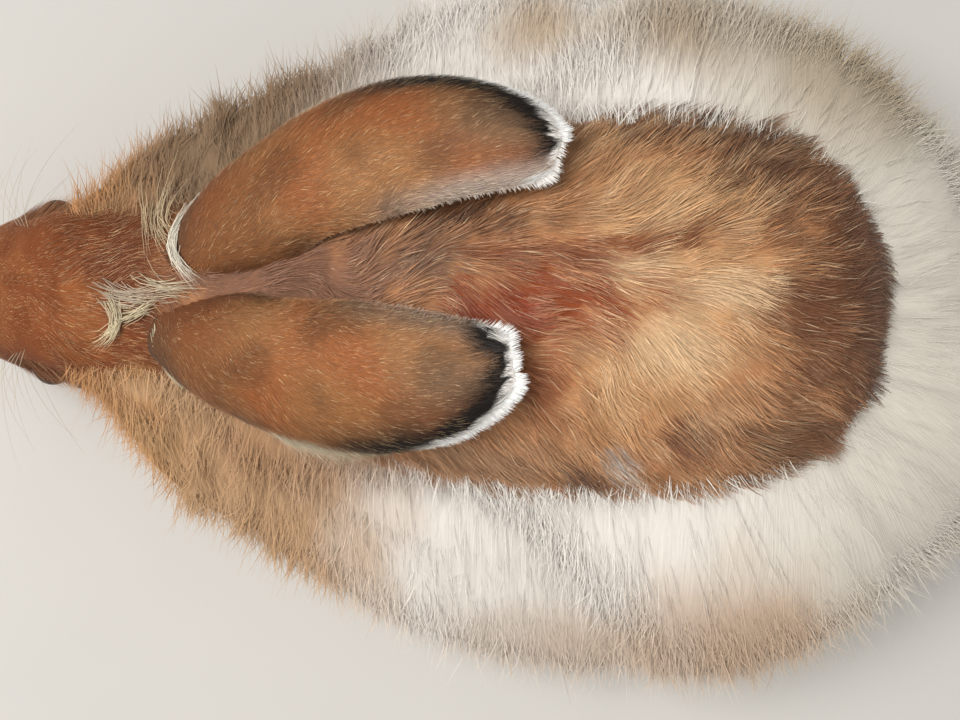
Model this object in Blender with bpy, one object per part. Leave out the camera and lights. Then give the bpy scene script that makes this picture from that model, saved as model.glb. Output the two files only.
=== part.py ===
"""An angora rabbit at life size, crouched with its ears laid back. Its back is plucked short, and long wool
stands out round it from the cheeks to the rump. The nose points along -Y and the floor is z = 0."""

import math

import bmesh
import bpy
import numpy as np
from mathutils import Vector

# All sizes are in millimetres until a mesh is made
MM = 0.001
GAP = 0.3

# Head: the nose tip, the poll where the head meets the neck, and half its width and height at the cheeks
NOSE = np.array([-8.0, -203.0, 57.0])
POLL = np.array([-5.0, -104.0, 94.0])
HEAD_HALF_WIDTH = 33.5
HEAD_HALF_HEIGHT = 33.0
# Trunk: where the rump ends, the height of the flesh over the floor and half the width at the hips
RUMP_Y = 156.0
BACK_HEIGHT = 158.0
HIP_HALF_WIDTH = 75.0
NOSE_CAP = 15.0
RUMP_CAP = 50.0

# Head sections: share of the way from nose to poll, then half width, reach up and reach down as shares
HEAD_SECTIONS = (
    (0.00, 0.56, 0.46, 0.50),
    (0.10, 0.64, 0.56, 0.68),
    (0.20, 0.73, 0.70, 0.82),
    (0.34, 0.86, 0.89, 0.90),
    (0.48, 0.97, 1.00, 0.94),
    (0.66, 1.02, 1.02, 1.02),
    (0.84, 1.02, 0.96, 1.14),
    (1.00, 1.00, 0.90, 1.32),
)
# Trunk sections: share of the way from poll to rump, then middle height, half width, reach up and down
TRUNK_SECTIONS = (
    (0.092, 0.590, 0.55, 0.43, 0.82),
    (0.208, 0.575, 0.69, 0.62, 0.98),
    (0.362, 0.550, 0.83, 0.81, 1.02),
    (0.515, 0.525, 0.93, 0.94, 1.00),
    (0.669, 0.510, 0.99, 1.00, 0.96),
    (0.804, 0.490, 0.96, 0.92, 0.92),
    (0.900, 0.470, 0.84, 0.76, 0.84),
    (1.000, 0.450, 0.74, 0.60, 0.74),
)
SQUARENESS = 2.25

# Swellings and hollows of the face: offset from the head's middle line, place, reach and height
FACE_FORMS = (
    ((27.0, -132.0, 68.0), 22.0, 4.0),
    ((22.0, -154.0, 108.0), 12.0, 2.5),
    ((33.0, -153.0, 88.0), 11.0, -3.0),
    ((15.0, -192.0, 55.0), 11.0, 3.5),
    ((0.0, -186.0, 36.0), 9.0, 2.5),
)

# The plucked back: half width at places along the body, and the depth of its short coat
SADDLE_HALF_WIDTH = (
    (-125.0, 27.0),
    (-80.0, 35.0),
    (-50.0, 49.0),
    (-20.0, 59.0),
    (10.0, 63.0),
    (45.0, 63.0),
    (74.0, 60.0),
    (100.0, 55.0),
    (118.0, 45.0),
    (130.0, 31.0),
    (137.0, 12.0),
    (140.0, -8.0),
)
SHORT_COAT = ((-208.0, 1.5), (-160.0, 2.5), (-110.0, 5.0), (-60.0, 7.0), (0.0, 8.0))
# Length of the wool from its root to its tip at places along the body, on the left side and on the right
WOOL_LENGTH = (
    (-148.0, 10.0, 9.0),
    (-138.0, 34.0, 28.0),
    (-120.0, 52.0, 42.0),
    (-100.0, 62.0, 50.0),
    (-60.0, 70.0, 57.0),
    (-20.0, 88.0, 76.0),
    (30.0, 93.0, 80.0),
    (60.0, 90.0, 64.0),
    (90.0, 76.0, 45.0),
    (120.0, 62.0, 38.0),
    (145.0, 72.0, 42.0),
)
# How far up its length the wool is packed into one solid core; the locks stand out of it to the tips
CORE_SHARE = 0.44
BELLY_WOOL = 14.0
# Wool bends towards the floor but stays this far over it, and starts to settle at the second height
FLOOR_CLEAR = 2.5
SETTLE_FROM = 16.0

# Locks: how close they stand, and their width and thickness, as shares of their length
LOCK_SPACING = 0.32
CLOSEST_LOCKS = 25.0
LOCK_WIDTH = 0.52
NARROWEST_LOCK = 30.0
LOCK_THICKNESS = 0.08
# A lock's sections: their places along the wool and their widths as shares. The root's point lies deeper
LOCK_PLACES = (0.28, 0.48, 0.70, 0.88)
LOCK_SWELL = (1.0, 1.0, 0.80, 0.46)
LOCK_ROOT = 0.22
LOCK_TWIST = 0.4
LOCK_CURL = 0.16
LOCK_TRIES = 9000
LOCK_SEED = 3
# How far round below the middle of the side wool grows, in radians
WOOL_BELOW = 1.3

# Mesh of the body: rings along it, and sides over the plucked back and round the rest
BODY_RINGS = 42
TOP_SIDES = 11
LOWER_SIDES = 21

# Planes that part the body into its nodes: a point and a direction
NECK_FRONT = ((0.0, -108.0, 100.0), (0.0, 0.968, -0.25))
NECK_BACK = ((0.0, -58.0, 100.0), (0.0, 0.985, -0.17))
HAUNCH_PLANES = (
    ((0.0, 6.0, 0.0), (0.0, -1.0, 0.0)),
    ((46.0, 0.0, 0.0), (-1.0, 0.0, 0.0)),
    ((0.0, 0.0, 66.0), (-0.7071, 0.0, 0.7071)),
    ((46.0, 108.0, 0.0), (-0.5, 0.866, 0.0)),
)
TAIL_PLANES = (
    ((25.0, 150.0, 0.0), (0.98, -0.2, 0.0)),
    ((-25.0, 150.0, 0.0), (-0.98, -0.2, 0.0)),
    ((0.0, 151.0, 0.0), (0.0, -1.0, 0.0)),
    ((0.0, 150.0, 96.0), (0.0, -0.2, 0.98)),
)
ROOM = 600.0

EYE_RADIUS = 8.8
EYE_ALONG = 50.0
EYE_ANGLE = 14.0
EYE_STANDS_OUT = 5.5
# Lids: how far round the eye they ring it, how thick they are, and how much flatter than round
LID_RADIUS = 7.6
LID_THICKNESS = 1.7
LID_FLATTEN = 0.82
# Mouth and nose: where lines start and end on the muzzle, as distance from the nose and angle round it
MOUTH_FRONT = (7.0, -90.0)
MOUTH_CORNER = (27.0, -28.0)
LIP_SPLIT = (1.5, 6.0)
NOSTRIL = ((1.2, -60.0), (3.6, 48.0))
GROOVE_RADIUS = 1.1

EAR_THICKNESS = 3.0
# Half widths of an ear from root to tip as shares, and how far it is rolled to each side in degrees
EAR_WIDTHS = ((0.0, 0.5), (0.15, 0.92), (0.35, 1.1), (0.6, 1.2), (0.8, 1.0), (1.0, 0.62))
EAR_ROLL = ((0.0, 125.0), (0.35, 64.0), (1.0, 46.0))
# Shares of the half width that the outer and the inner side keep towards the tip
EAR_OUTER = ((0.74, 1.0), (0.85, 0.86), (0.93, 0.58), (1.0, 0.0))
EAR_INNER = ((0.88, 1.0), (0.95, 0.93), (1.0, 0.75))
# Each ear: its root, its tip, how far its middle bows sideways and upwards, its roll outwards in degrees, and
# half its width where the widths' share is one
EARS = {
    "ear_left": ((9.0, -111.0, 119.0), (20.5, 15.0, 166.0), 9.0, 6.0, 10.0, 21.0),
    "ear_right": ((-15.0, -105.0, 119.0), (-47.5, 28.5, 152.0), -17.5, 8.0, -16.0, 20.2),
}

# Limbs: a path of places, each with half its width and half its height
FORELEG_PATH = (
    ((30.0, -76.0, 40.0), 13.0, 13.0),
    ((27.0, -102.0, 23.0), 13.0, 12.5),
    ((24.0, -126.0, 12.0), 12.0, 11.5),
    ((22.5, -145.0, 9.5), 12.0, 10.0),
    ((21.5, -162.0, 7.5), 12.0, 8.5),
)
HIND_FOOT_PATH = (
    ((56.0, 104.0, 15.0), 10.0, 14.0),
    ((60.0, 70.0, 11.0), 13.0, 11.5),
    ((64.0, 20.0, 10.0), 15.0, 10.8),
    ((67.0, -22.0, 9.5), 15.5, 10.2),
    ((68.0, -48.0, 7.0), 14.0, 8.0),
)
# Toes: how many, how far apart, how long each stands out, and its half width
TOE_COUNT = 4
TOE_LENGTH = 11.0
TOE_HALF_WIDTH = 4.0

# Each node's colour in linear red, green and blue
COLOURS = {
    "head": (0.45, 0.22, 0.10),
    "ear_left": (0.48, 0.26, 0.12),
    "ear_right": (0.50, 0.27, 0.12),
    "eye_left": (0.06, 0.03, 0.02),
    "eye_right": (0.06, 0.03, 0.02),
    "neck": (0.62, 0.45, 0.30),
    "torso": (0.70, 0.52, 0.36),
    "haunch_left": (0.74, 0.66, 0.56),
    "haunch_right": (0.74, 0.66, 0.56),
    "foreleg_left": (0.66, 0.46, 0.30),
    "foreleg_right": (0.66, 0.46, 0.30),
    "hind_foot_left": (0.72, 0.58, 0.44),
    "hind_foot_right": (0.72, 0.58, 0.44),
    "tail": (0.74, 0.64, 0.52),
}
FUR_ROUGHNESS = 0.9
EYE_ROUGHNESS = 0.1


def clear_scene():
    for old in list(bpy.data.objects):
        bpy.data.objects.remove(old)


def unit(vectors):
    """The vectors at length one."""
    return vectors / np.maximum(np.linalg.norm(vectors, axis=-1, keepdims=True), 1e-9)


def ramp(low, high, value):
    """0 below low, 1 above high, and smooth between them."""
    share = np.clip((value - low) / (high - low), 0.0, 1.0)
    return share * share * (3.0 - 2.0 * share)


def eased(places, values, at):
    """Values read between given places on a smooth curve that passes through each of them."""
    places = np.asarray(places, float)
    values = np.asarray(values, float)
    slopes = np.gradient(values, places, axis=0)
    at = np.clip(at, places[0], places[-1])
    left = np.clip(np.searchsorted(places, at, side="right") - 1, 0, len(places) - 2)
    span = places[left + 1] - places[left]
    share = (at - places[left]) / span
    if values.ndim > 1:
        span, share = span[..., None], share[..., None]
    rest = 1.0 - share
    return (
        values[left] * (1.0 + 2.0 * share) * rest**2
        + slopes[left] * span * share * rest**2
        + values[left + 1] * share**2 * (3.0 - 2.0 * share)
        - slopes[left + 1] * span * share**2 * rest
    )


def read(pairs, at):
    """A value read from pairs of place and value, straight between them."""
    table = np.array(pairs)
    return np.interp(at, table[:, 0], table[:, 1])


def body_sections():
    """The middle points of the body's sections from nose to rump, each with half width, reach up and down."""
    rows = [
        (
            *(NOSE + (POLL - NOSE) * share),
            wide * HEAD_HALF_WIDTH,
            up * HEAD_HALF_HEIGHT,
            down * HEAD_HALF_HEIGHT,
        )
        for share, wide, up, down in HEAD_SECTIONS
    ]
    for share, middle, wide, up, down in TRUNK_SECTIONS:
        rows.append(
            (
                POLL[0] * max(0.0, 1.0 - 3.0 * share),
                POLL[1] + (RUMP_Y - POLL[1]) * share,
                middle * BACK_HEIGHT,
                wide * HIP_HALF_WIDTH,
                up * BACK_HEIGHT / 2,
                down * BACK_HEIGHT / 2,
            )
        )
    return np.array(rows)


SECTIONS = body_sections()
ALONG = np.concatenate(
    [[0.0], np.cumsum(np.linalg.norm(np.diff(SECTIONS[:, :3], axis=0), axis=1))]
)
BODY_LENGTH = ALONG[-1]


def flesh(along, angle):
    """Points of the skin, a superellipse carried along the middle line. along runs from the nose, and angle
    from the left side over the back. Round caps close the nose and the rump."""
    row = eased(ALONG, SECTIONS, along)
    step = 2.0
    ahead = eased(ALONG, SECTIONS, np.minimum(along + step, BODY_LENGTH))[..., :3]
    behind = eased(ALONG, SECTIONS, np.maximum(along - step, 0.0))[..., :3]
    heading = unit(ahead - behind)
    side = unit(np.cross(heading, [0.0, 0.0, 1.0]))
    up = unit(np.cross(side, heading))
    nose = np.clip(along / NOSE_CAP, 0.0, 1.0)
    rump = np.clip((BODY_LENGTH - along) / RUMP_CAP, 0.0, 1.0)
    cap = np.sqrt(1.0 - (1.0 - nose) ** 2) * np.sqrt(1.0 - (1.0 - rump) ** 2)
    power = 2.0 / SQUARENESS
    across = np.sign(np.cos(angle)) * np.abs(np.cos(angle)) ** power
    rise = np.sign(np.sin(angle)) * np.abs(np.sin(angle)) ** power
    tall = np.where(rise > 0, row[..., 4], row[..., 5])
    return (
        row[..., :3]
        + side * (row[..., 3] * cap * across)[..., None]
        + up * (tall * cap * rise)[..., None]
    )


def facing(along, angle):
    """The outward direction of the skin there, from its slopes along and around."""
    step = 0.5
    near = np.clip(along, 1.2, BODY_LENGTH - 1.2)
    down_body = flesh(near + step, angle) - flesh(near - step, angle)
    round_body = flesh(near, angle + 0.01) - flesh(near, angle - 0.01)
    return unit(np.cross(down_body, round_body))


def middle_x(y):
    """The sideways place of the body's middle line."""
    return np.interp(y, SECTIONS[:, 1], SECTIONS[:, 0])


def faced(points, outward):
    """The skin with the swellings and hollows of the face on it."""
    moved = points.copy()
    for (x, y, z), reach, height in FACE_FORMS:
        for mirror in (1.0, -1.0):
            centre = np.array([mirror * x + middle_x(y), y, z])
            near = np.exp(-np.sum((points - centre) ** 2, axis=-1) / reach**2)
            moved += outward * (height * near)[..., None]
    return moved


def wool_length(points):
    """How long the wool is that grows at the points, blended across the back from side to side."""
    x, y = points[..., 0], points[..., 1]
    rows = np.array(WOOL_LENGTH)
    left = ramp(-30.0, 30.0, x)
    return left * read(rows[:, :2], y) + (1.0 - left) * read(rows[:, ::2], y)


def wool_share(points, outward):
    """1 where long wool grows, 0 on the face, the nape and the plucked back."""
    x, y = points[..., 0], points[..., 1]
    half = read(SADDLE_HALF_WIDTH, y)
    beside = ramp(half, half + 5.0, np.abs(x - middle_x(y)))
    under = ramp(0.1, -0.1, outward[..., 2])
    return ramp(-148.0, -126.0, y) * np.maximum(beside, under)


def wool_bends(points, outward):
    """The way in which the wool leaves the skin, and the way in which its tips hang. It streams out level
    from the body, back from the cheeks and the rump, and its weight bends it down."""
    back = 0.15 + 0.55 * ramp(-60.0, -135.0, points[..., 1])
    level = outward * [1.0, 1.0, 0.0]
    level[..., 1] += 0.1
    level = unit(level)
    level[..., 1] += back
    level = unit(level)
    start = unit(0.5 * outward + level)
    end = unit(0.8 * level + [0.0, 0.0, -0.72])
    return start, end


def strand(points, outward, length, share):
    """Where the wool that is rooted at the points lies, at a share of its length. It starts along one
    direction and turns evenly to another, so its course is a parabola."""
    start, end = wool_bends(points, outward)
    length, share = np.asarray(length)[..., None], np.asarray(share)[..., None]
    course = points + length * (start * share + (end - start) * share**2 / 2.0)
    height = course[..., 2]
    sunk = np.minimum(height - SETTLE_FROM, 0.0) / (SETTLE_FROM - FLOOR_CLEAR)
    settled = FLOOR_CLEAR + (SETTLE_FROM - FLOOR_CLEAR) * np.exp(sunk)
    course[..., 2] = np.where(height < SETTLE_FROM, settled, height)
    return course


def coated(points, outward, extra=0.0):
    """The outer side of the short coat, and of the core of the long wool, over the skin."""
    share = wool_share(points, outward)
    short = read(SHORT_COAT, points[..., 1]) + extra
    combed = points + outward * short[..., None]
    length = wool_length(points)
    woolly = strand(points, outward, length, np.full(length.shape, CORE_SHARE))
    # Under the body the core goes on down, and the floor cuts it flat
    under = ramp(-0.3, -0.7, outward[..., 2])[..., None]
    woolly = woolly * (1.0 - under) + (points + outward * BELLY_WOOL) * under
    woolly = woolly + outward * extra
    return combed + (woolly - combed) * share[..., None]


def mesh_object(name, points, faces):
    """A closed mesh object from points in millimetres, with its faces turned outwards."""
    mesh = bpy.data.meshes.new(name)
    mesh.from_pydata((np.asarray(points) * MM).tolist(), [], faces)
    form = bmesh.new()
    form.from_mesh(mesh)
    bmesh.ops.remove_doubles(form, verts=form.verts, dist=1e-6)
    bmesh.ops.recalc_face_normals(form, faces=form.faces)
    form.to_mesh(mesh)
    form.free()
    made = bpy.data.objects.new(name, mesh)
    bpy.context.scene.collection.objects.link(made)
    return made


def closed_rings(name, rings, start, end):
    """A closed mesh from rings of points, with a single point closing each end."""
    count, sides = rings.shape[:2]
    points = [*rings.reshape(-1, 3), start, end]
    first, last = count * sides, count * sides + 1
    faces = []
    for ring in range(count - 1):
        for k in range(sides):
            a, b = ring * sides + k, ring * sides + (k + 1) % sides
            faces += [(a, b, b + sides), (a, b + sides, a + sides)]
    for k in range(sides):
        n = (k + 1) % sides
        faces.append((n, k, first))
        faces.append(((count - 1) * sides + k, (count - 1) * sides + n, last))
    return mesh_object(name, points, faces)


def closed_sheet(name, back, front):
    """A closed mesh between two grids of points, the two sides of a thin sheet."""
    rows, columns = back.shape[:2]
    points = [*back.reshape(-1, 3), *front.reshape(-1, 3)]
    far = rows * columns
    faces = []
    for row in range(rows - 1):
        for k in range(columns - 1):
            a = row * columns + k
            b, c, d = a + 1, a + columns + 1, a + columns
            faces += [(a, b, c), (a, c, d), (far + c, far + b, far + a), (far + d, far + c, far + a)]
        for k in (0, columns - 1):
            a = row * columns + k
            faces.append((a, a + columns, far + a + columns, far + a))
    for row in (0, rows - 1):
        for k in range(columns - 1):
            a = row * columns + k
            faces.append((a, a + 1, far + a + 1, far + a))
    return mesh_object(name, points, faces)


def section_angles(along):
    """Angles round each section of the body. Two of them always fall on the edges of the plucked back, so
    that the wool starts along a clean line."""
    row = eased(ALONG, SECTIONS, along)
    half = read(SADDLE_HALF_WIDTH, row[:, 1]) / row[:, 3]
    edge = np.arccos(np.clip(half, 0.05, 0.97) ** (SQUARENESS / 2.0))
    edge = np.clip(edge, 0.45, 1.25)[:, None]
    top = np.linspace(0.0, 1.0, TOP_SIDES, endpoint=False)[None, :]
    low = np.linspace(0.0, 1.0, LOWER_SIDES, endpoint=False)[None, :]
    over = edge + (np.pi - 2.0 * edge) * top
    below = np.pi - edge + (np.pi + 2.0 * edge) * low
    return np.concatenate([over, below], axis=1)


def body_core(name, extra=0.0):
    """The whole body as one closed solid, out to its short coat and to the core of its wool."""
    share = np.linspace(0.0, 1.0, BODY_RINGS + 2)[1:-1]
    # Rings stand closer at the face than along the trunk
    along = BODY_LENGTH * (0.55 * share + 0.45 * share**2.2)
    along = np.clip(along, 0.8, BODY_LENGTH - 1.5)
    angle = section_angles(along)
    along = np.broadcast_to(along[:, None], angle.shape)
    points, outward = flesh(along, angle), facing(along, angle)
    rings = coated(faced(points, outward), outward, extra)
    start = NOSE + unit(NOSE - POLL) * (SHORT_COAT[0][1] + extra + 0.4)
    end = rings[-1].mean(axis=0) + [0.0, 1.0 + extra, 0.0]
    return closed_rings(name, rings, start, end)


def lock(root, outward, length, width, thickness, twist, curl):
    """A flat, tapered lock of wool: low three-sided sections along the wool's own course, closed at a
    point. Its ridge is on the outer side."""
    share, swell = np.array(LOCK_PLACES), np.array(LOCK_SWELL)
    at = np.array([*LOCK_PLACES, LOCK_ROOT, 1.0])
    count = len(at)
    roots, ways = np.repeat(root[None], count, axis=0), np.repeat(outward[None], count, axis=0)
    course = strand(roots, ways, np.full(count, length), at)
    _, end = wool_bends(root[None], outward[None])
    side = unit(np.cross(end[0], [0.0, 0.0, 1.0]))
    course = course + side * (curl * length * at**2)[:, None]
    heading = unit(np.gradient(course[:-2], share, axis=0))
    flat = unit(np.cross(side, heading))
    side = unit(np.cross(heading, flat))
    across = side * math.cos(twist) + flat * math.sin(twist)
    upward = flat * math.cos(twist) - side * math.sin(twist)
    wide, thick = swell * width / 2.0, (0.35 + 0.65 * swell) * thickness / 2.0
    across, upward = across * wide[:, None], upward * thick[:, None]
    middle = course[:-2]
    keel = middle - 0.6 * upward
    rings = np.stack([keel + across, middle + upward, keel - across], axis=1)
    # A lock that would reach the floor is lifted, each one a little differently
    low = 0.8 + 0.04 * width * abs(twist)
    rings[..., 2] += np.maximum(0.0, low - rings[..., 2].min(axis=1))[:, None]
    return closed_rings("lock", rings, course[-2], course[-1])


def wool_locks():
    """Locks set all over the woolly skin: seeded places are tried in turn, and each keeps its distance from
    those before it, measured a little past half way up the wool."""
    rng = np.random.default_rng(LOCK_SEED)
    # Places are tried more often towards the rump, where the wool is longest
    along = (1.0 - 0.82 * rng.uniform(0.0, 1.0, LOCK_TRIES) ** 1.7) * BODY_LENGTH
    angle = rng.uniform(-WOOL_BELOW, np.pi + WOOL_BELOW, LOCK_TRIES)
    points, outward = flesh(along, angle), facing(along, angle)
    points = faced(points, outward)
    length = wool_length(points)
    woolly = wool_share(points, outward) > 0.55
    usable = woolly & (points[..., 2] > 5.0) & (outward[..., 2] > -0.95)
    middles = strand(points, outward, length, np.full(LOCK_TRIES, 0.6))
    made, taken = [], []
    for k in np.flatnonzero(usable):
        far = max(LOCK_SPACING * length[k], CLOSEST_LOCKS)
        if taken and np.min(np.linalg.norm(np.array(taken) - middles[k], axis=1)) < far:
            continue
        taken.append(middles[k])
        size = length[k] * rng.uniform(0.92, 1.04)
        width = max(size * LOCK_WIDTH, NARROWEST_LOCK) * rng.uniform(0.85, 1.1)
        twist = rng.uniform(-LOCK_TWIST, LOCK_TWIST)
        curl = rng.uniform(-LOCK_CURL, LOCK_CURL)
        made.append(lock(points[k], outward[k], size, width, size * LOCK_THICKNESS, twist, curl))
    return made


def tube(name, rows, grown=0.0, sides=12, rings=12, level=True):
    """A tube with round ends along a smooth path. Each row holds a place, half a width and half a height."""
    rows = np.asarray(rows, float)
    far = np.concatenate([[0.0], np.cumsum(np.linalg.norm(np.diff(rows[:, :3], axis=0), axis=1))])
    share = (1.0 - np.cos(np.linspace(0.1, np.pi - 0.1, rings))) / 2.0
    at = share * far[-1]
    row = eased(far, rows, at)
    ahead = eased(far, rows, np.minimum(at + 0.5, far[-1]))[:, :3]
    behind = eased(far, rows, np.maximum(at - 0.5, 0.0))[:, :3]
    heading = unit(ahead - behind)
    side = unit(np.cross(heading, [0.0, 0.0, 1.0] if level else [1.0, 0.0, 0.0]))
    up = np.cross(side, heading)
    cap = row[-1, 3]
    ends = np.minimum(np.clip(at / cap, 0, 1), np.clip((far[-1] - at) / cap, 0, 1))
    round_off = np.sqrt(1.0 - (1.0 - ends) ** 2)
    turn = np.linspace(0.0, 2.0 * np.pi, sides, endpoint=False)
    wide = (row[:, 3] * round_off + grown)[:, None, None]
    tall = (row[:, 4] * round_off + grown)[:, None, None]
    made = (
        row[:, None, :3]
        + side[:, None] * wide * np.cos(turn)[None, :, None]
        + up[:, None] * tall * np.sin(turn)[None, :, None]
    )
    start = rows[0, :3] - heading[0] * grown
    end = rows[-1, :3] + heading[-1] * grown
    return closed_rings(name, made, start, end)


def limb(name, path, mirror, grown=0.0):
    """A leg or a foot: its path is mirrored for the right side."""
    rows = np.array([(*place, wide, tall) for place, wide, tall in path])
    rows[:, 0] *= mirror
    return tube(name, rows, grown, sides=10, rings=9)


def toes(path, mirror, grown=0.0):
    """Toes side by side at the end of a foot, each a short rounded tube."""
    (x, y, z), wide, _ = path[-1]
    made = []
    for k in range(TOE_COUNT):
        place = 2.0 * k / (TOE_COUNT - 1) - 1.0
        reach = TOE_LENGTH * (1.0 - 0.35 * place**2)
        root = (mirror * (x + place * (wide - TOE_HALF_WIDTH)), y + 9.0, z)
        tip = (mirror * (x + place * (wide - TOE_HALF_WIDTH) * 1.1), y - reach, z - 1.5)
        rows = [(*root, TOE_HALF_WIDTH, 5.0), (*tip, TOE_HALF_WIDTH, 4.6)]
        made.append(tube("toe", rows, grown, sides=6, rings=3))
    return made


def on_face(along, angle, extra=0.0):
    """A point on the outer side of the face's short coat. angle is in degrees."""
    along, angle = np.atleast_1d(along), np.radians(np.atleast_1d(angle))
    points, outward = flesh(along, angle), facing(along, angle)
    return coated(faced(points, outward), outward, extra)


def groove(along, angle, radius=GROOVE_RADIUS):
    """A round groove's cutter along a line on the face."""
    places = on_face(along, angle, 0.2)
    rows = [(*place, radius, radius) for place in places]
    return tube("groove", rows, sides=4, rings=len(rows) + 2, level=False)


def face_grooves():
    """Cutters for the line of the mouth, the split of the lip and both nostrils."""
    made = []
    share = np.linspace(0.0, 1.0, 5)
    for mirror in (1.0, -1.0):
        along = MOUTH_FRONT[0] + (MOUTH_CORNER[0] - MOUTH_FRONT[0]) * share**1.5
        angle = MOUTH_FRONT[1] + (MOUTH_CORNER[1] - MOUTH_FRONT[1]) * share
        angle = angle if mirror > 0 else -180.0 - angle
        made.append(groove(along, angle))
        (start, low), (end, high) = NOSTRIL
        along = start + (end - start) * share
        angle = low + (high - low) * share
        angle = angle if mirror > 0 else 180.0 - angle
        made.append(groove(along, angle, GROOVE_RADIUS * 1.3))
    along = LIP_SPLIT[0] + (LIP_SPLIT[1] + 2.0 - LIP_SPLIT[0]) * share
    made.append(groove(along, np.full(5, -90.0)))
    return made


def lids(mirror):
    """A raised rim round the eye, flatter than round."""
    centre, outward = eye_centre(mirror)
    ahead = unit(np.cross(outward, [0.0, 0.0, 1.0]))
    up = np.cross(ahead, outward)
    out = math.sqrt(EYE_RADIUS**2 - LID_RADIUS**2)
    count, sides = 14, 5
    turn = np.linspace(0.0, 2.0 * np.pi, count, endpoint=False)[:, None]
    ring = centre + outward * (out - 0.4)
    spoke = ahead * np.cos(turn) + up * np.sin(turn) * LID_FLATTEN
    ring = ring + spoke * (LID_RADIUS + 0.6) - outward * 0.8 * np.cos(turn) ** 2
    around = np.linspace(0.0, 2.0 * np.pi, sides, endpoint=False)[None, :, None]
    made = ring[:, None] + LID_THICKNESS * (
        unit(spoke)[:, None] * np.cos(around) + outward * np.sin(around)
    )
    points = made.reshape(-1, 3)
    faces = []
    for k in range(count):
        for j in range(sides):
            a, b = k * sides + j, k * sides + (j + 1) % sides
            c, d = (b + sides) % len(points), (a + sides) % len(points)
            faces += [(a, b, c), (a, c, d)]
    return mesh_object("lids", points, faces)


def eye_centre(mirror):
    """The middle of an eyeball, set into the side of the head."""
    angle = math.radians(EYE_ANGLE)
    angle = angle if mirror > 0 else math.pi - angle
    along, angle = np.array([EYE_ALONG]), np.array([angle])
    point, outward = flesh(along, angle), facing(along, angle)
    return (faced(point, outward) + outward * (EYE_STANDS_OUT - EYE_RADIUS))[0], outward[0]


def eyeball(name, mirror, grown=0.0):
    """A round eye."""
    mesh = bpy.data.meshes.new(name)
    form = bmesh.new()
    bmesh.ops.create_uvsphere(
        form, u_segments=14, v_segments=8, radius=(EYE_RADIUS + grown) * MM
    )
    centre, _ = eye_centre(mirror)
    bmesh.ops.translate(form, verts=form.verts, vec=Vector(centre * MM))
    form.to_mesh(mesh)
    form.free()
    made = bpy.data.objects.new(name, mesh)
    bpy.context.scene.collection.objects.link(made)
    return made


def ear(name, grown=0.0, rings=12, across=9):
    """An ear: a leaf rolled round its length, deepest at the root, with its hollow side down and outwards."""
    root, tip, bow, lift, roll, half_width = EARS[name]
    root, tip = np.array(root), np.array(tip)
    share = np.linspace(0.0, 1.0, rings)
    share = 0.5 * share + 0.5 * (1.0 - np.cos(share * np.pi)) / 2.0
    arch = (4.0 * share * (1.0 - share))[:, None]
    middle = root + (tip - root) * share[:, None] + arch * [bow, 0.0, lift]
    heading = unit(np.gradient(middle, share, axis=0))
    side = unit(np.cross(heading, [0.0, 0.0, 1.0]))
    top = np.cross(side, heading)
    turn = math.radians(roll)
    side, top = side * math.cos(turn) - top * math.sin(turn), (
        top * math.cos(turn) + side * math.sin(turn)
    )
    half = half_width * read(EAR_WIDTHS, share)
    open_half = np.radians(read(EAR_ROLL, share))
    radius = half / np.sin(np.minimum(open_half, np.pi / 2))
    edge = np.linspace(-1.0, 1.0, across)
    is_outer = edge[None, :] * bow > 0.0
    kept = np.where(is_outer, read(EAR_OUTER, share)[:, None], read(EAR_INNER, share)[:, None])
    sweep = open_half[:, None] * edge * kept
    outward = side[:, None] * np.sin(sweep)[..., None] + top[:, None] * np.cos(sweep)[..., None]
    drop = radius * 0.6
    sheet = middle[:, None] + outward * radius[:, None, None] - (top * drop[:, None])[:, None]
    along_arc = side[:, None] * np.cos(sweep)[..., None] - top[:, None] * np.sin(sweep)[..., None]
    sheet = sheet + along_arc * (1.5 * grown * np.trunc(edge))[None, :, None]
    sheet[0] -= heading[0] * grown
    sheet[-1] += heading[-1] * grown
    thin = EAR_THICKNESS / 2 * (1.0 - 0.45 * np.abs(edge) ** 3)[None, :, None]
    thick = thin + grown
    return closed_sheet(name, sheet + outward * thick, sheet - outward * thick)


def block(name, planes):
    """A big block cut down to the side of each plane that its direction points away from."""
    mesh = bpy.data.meshes.new(name)
    form = bmesh.new()
    bmesh.ops.create_cube(form, size=2.0 * ROOM * MM)
    for place, away in planes:
        cut = bmesh.ops.bisect_plane(
            form,
            geom=[*form.verts, *form.edges, *form.faces],
            plane_co=Vector(place) * MM,
            plane_no=Vector(away),
            clear_outer=True,
        )
        rim = [e for e in cut["geom_cut"] if isinstance(e, bmesh.types.BMEdge)]
        bmesh.ops.contextual_create(form, geom=rim)
    bmesh.ops.recalc_face_normals(form, faces=form.faces)
    form.to_mesh(mesh)
    form.free()
    made = bpy.data.objects.new(name, mesh)
    bpy.context.scene.collection.objects.link(made)
    return made


def shifted(plane, far):
    """The plane moved along its direction, and its direction."""
    place, away = np.array(plane[0]), np.array(plane[1])
    away = away / np.linalg.norm(away)
    return place + away * far, away


def flipped(plane):
    """The plane with its direction turned round."""
    return plane[0], tuple(-np.array(plane[1]))


def mirrored(planes):
    """The planes on the other side of the body."""
    flip = np.array([-1.0, 1.0, 1.0])
    return [(np.array(place) * flip, np.array(away) * flip) for place, away in planes]


def region(name, planes, grown=-GAP / 2):
    """The block that the planes enclose, smaller or larger by grown."""
    return block(name, [shifted(plane, grown) for plane in planes])


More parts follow.
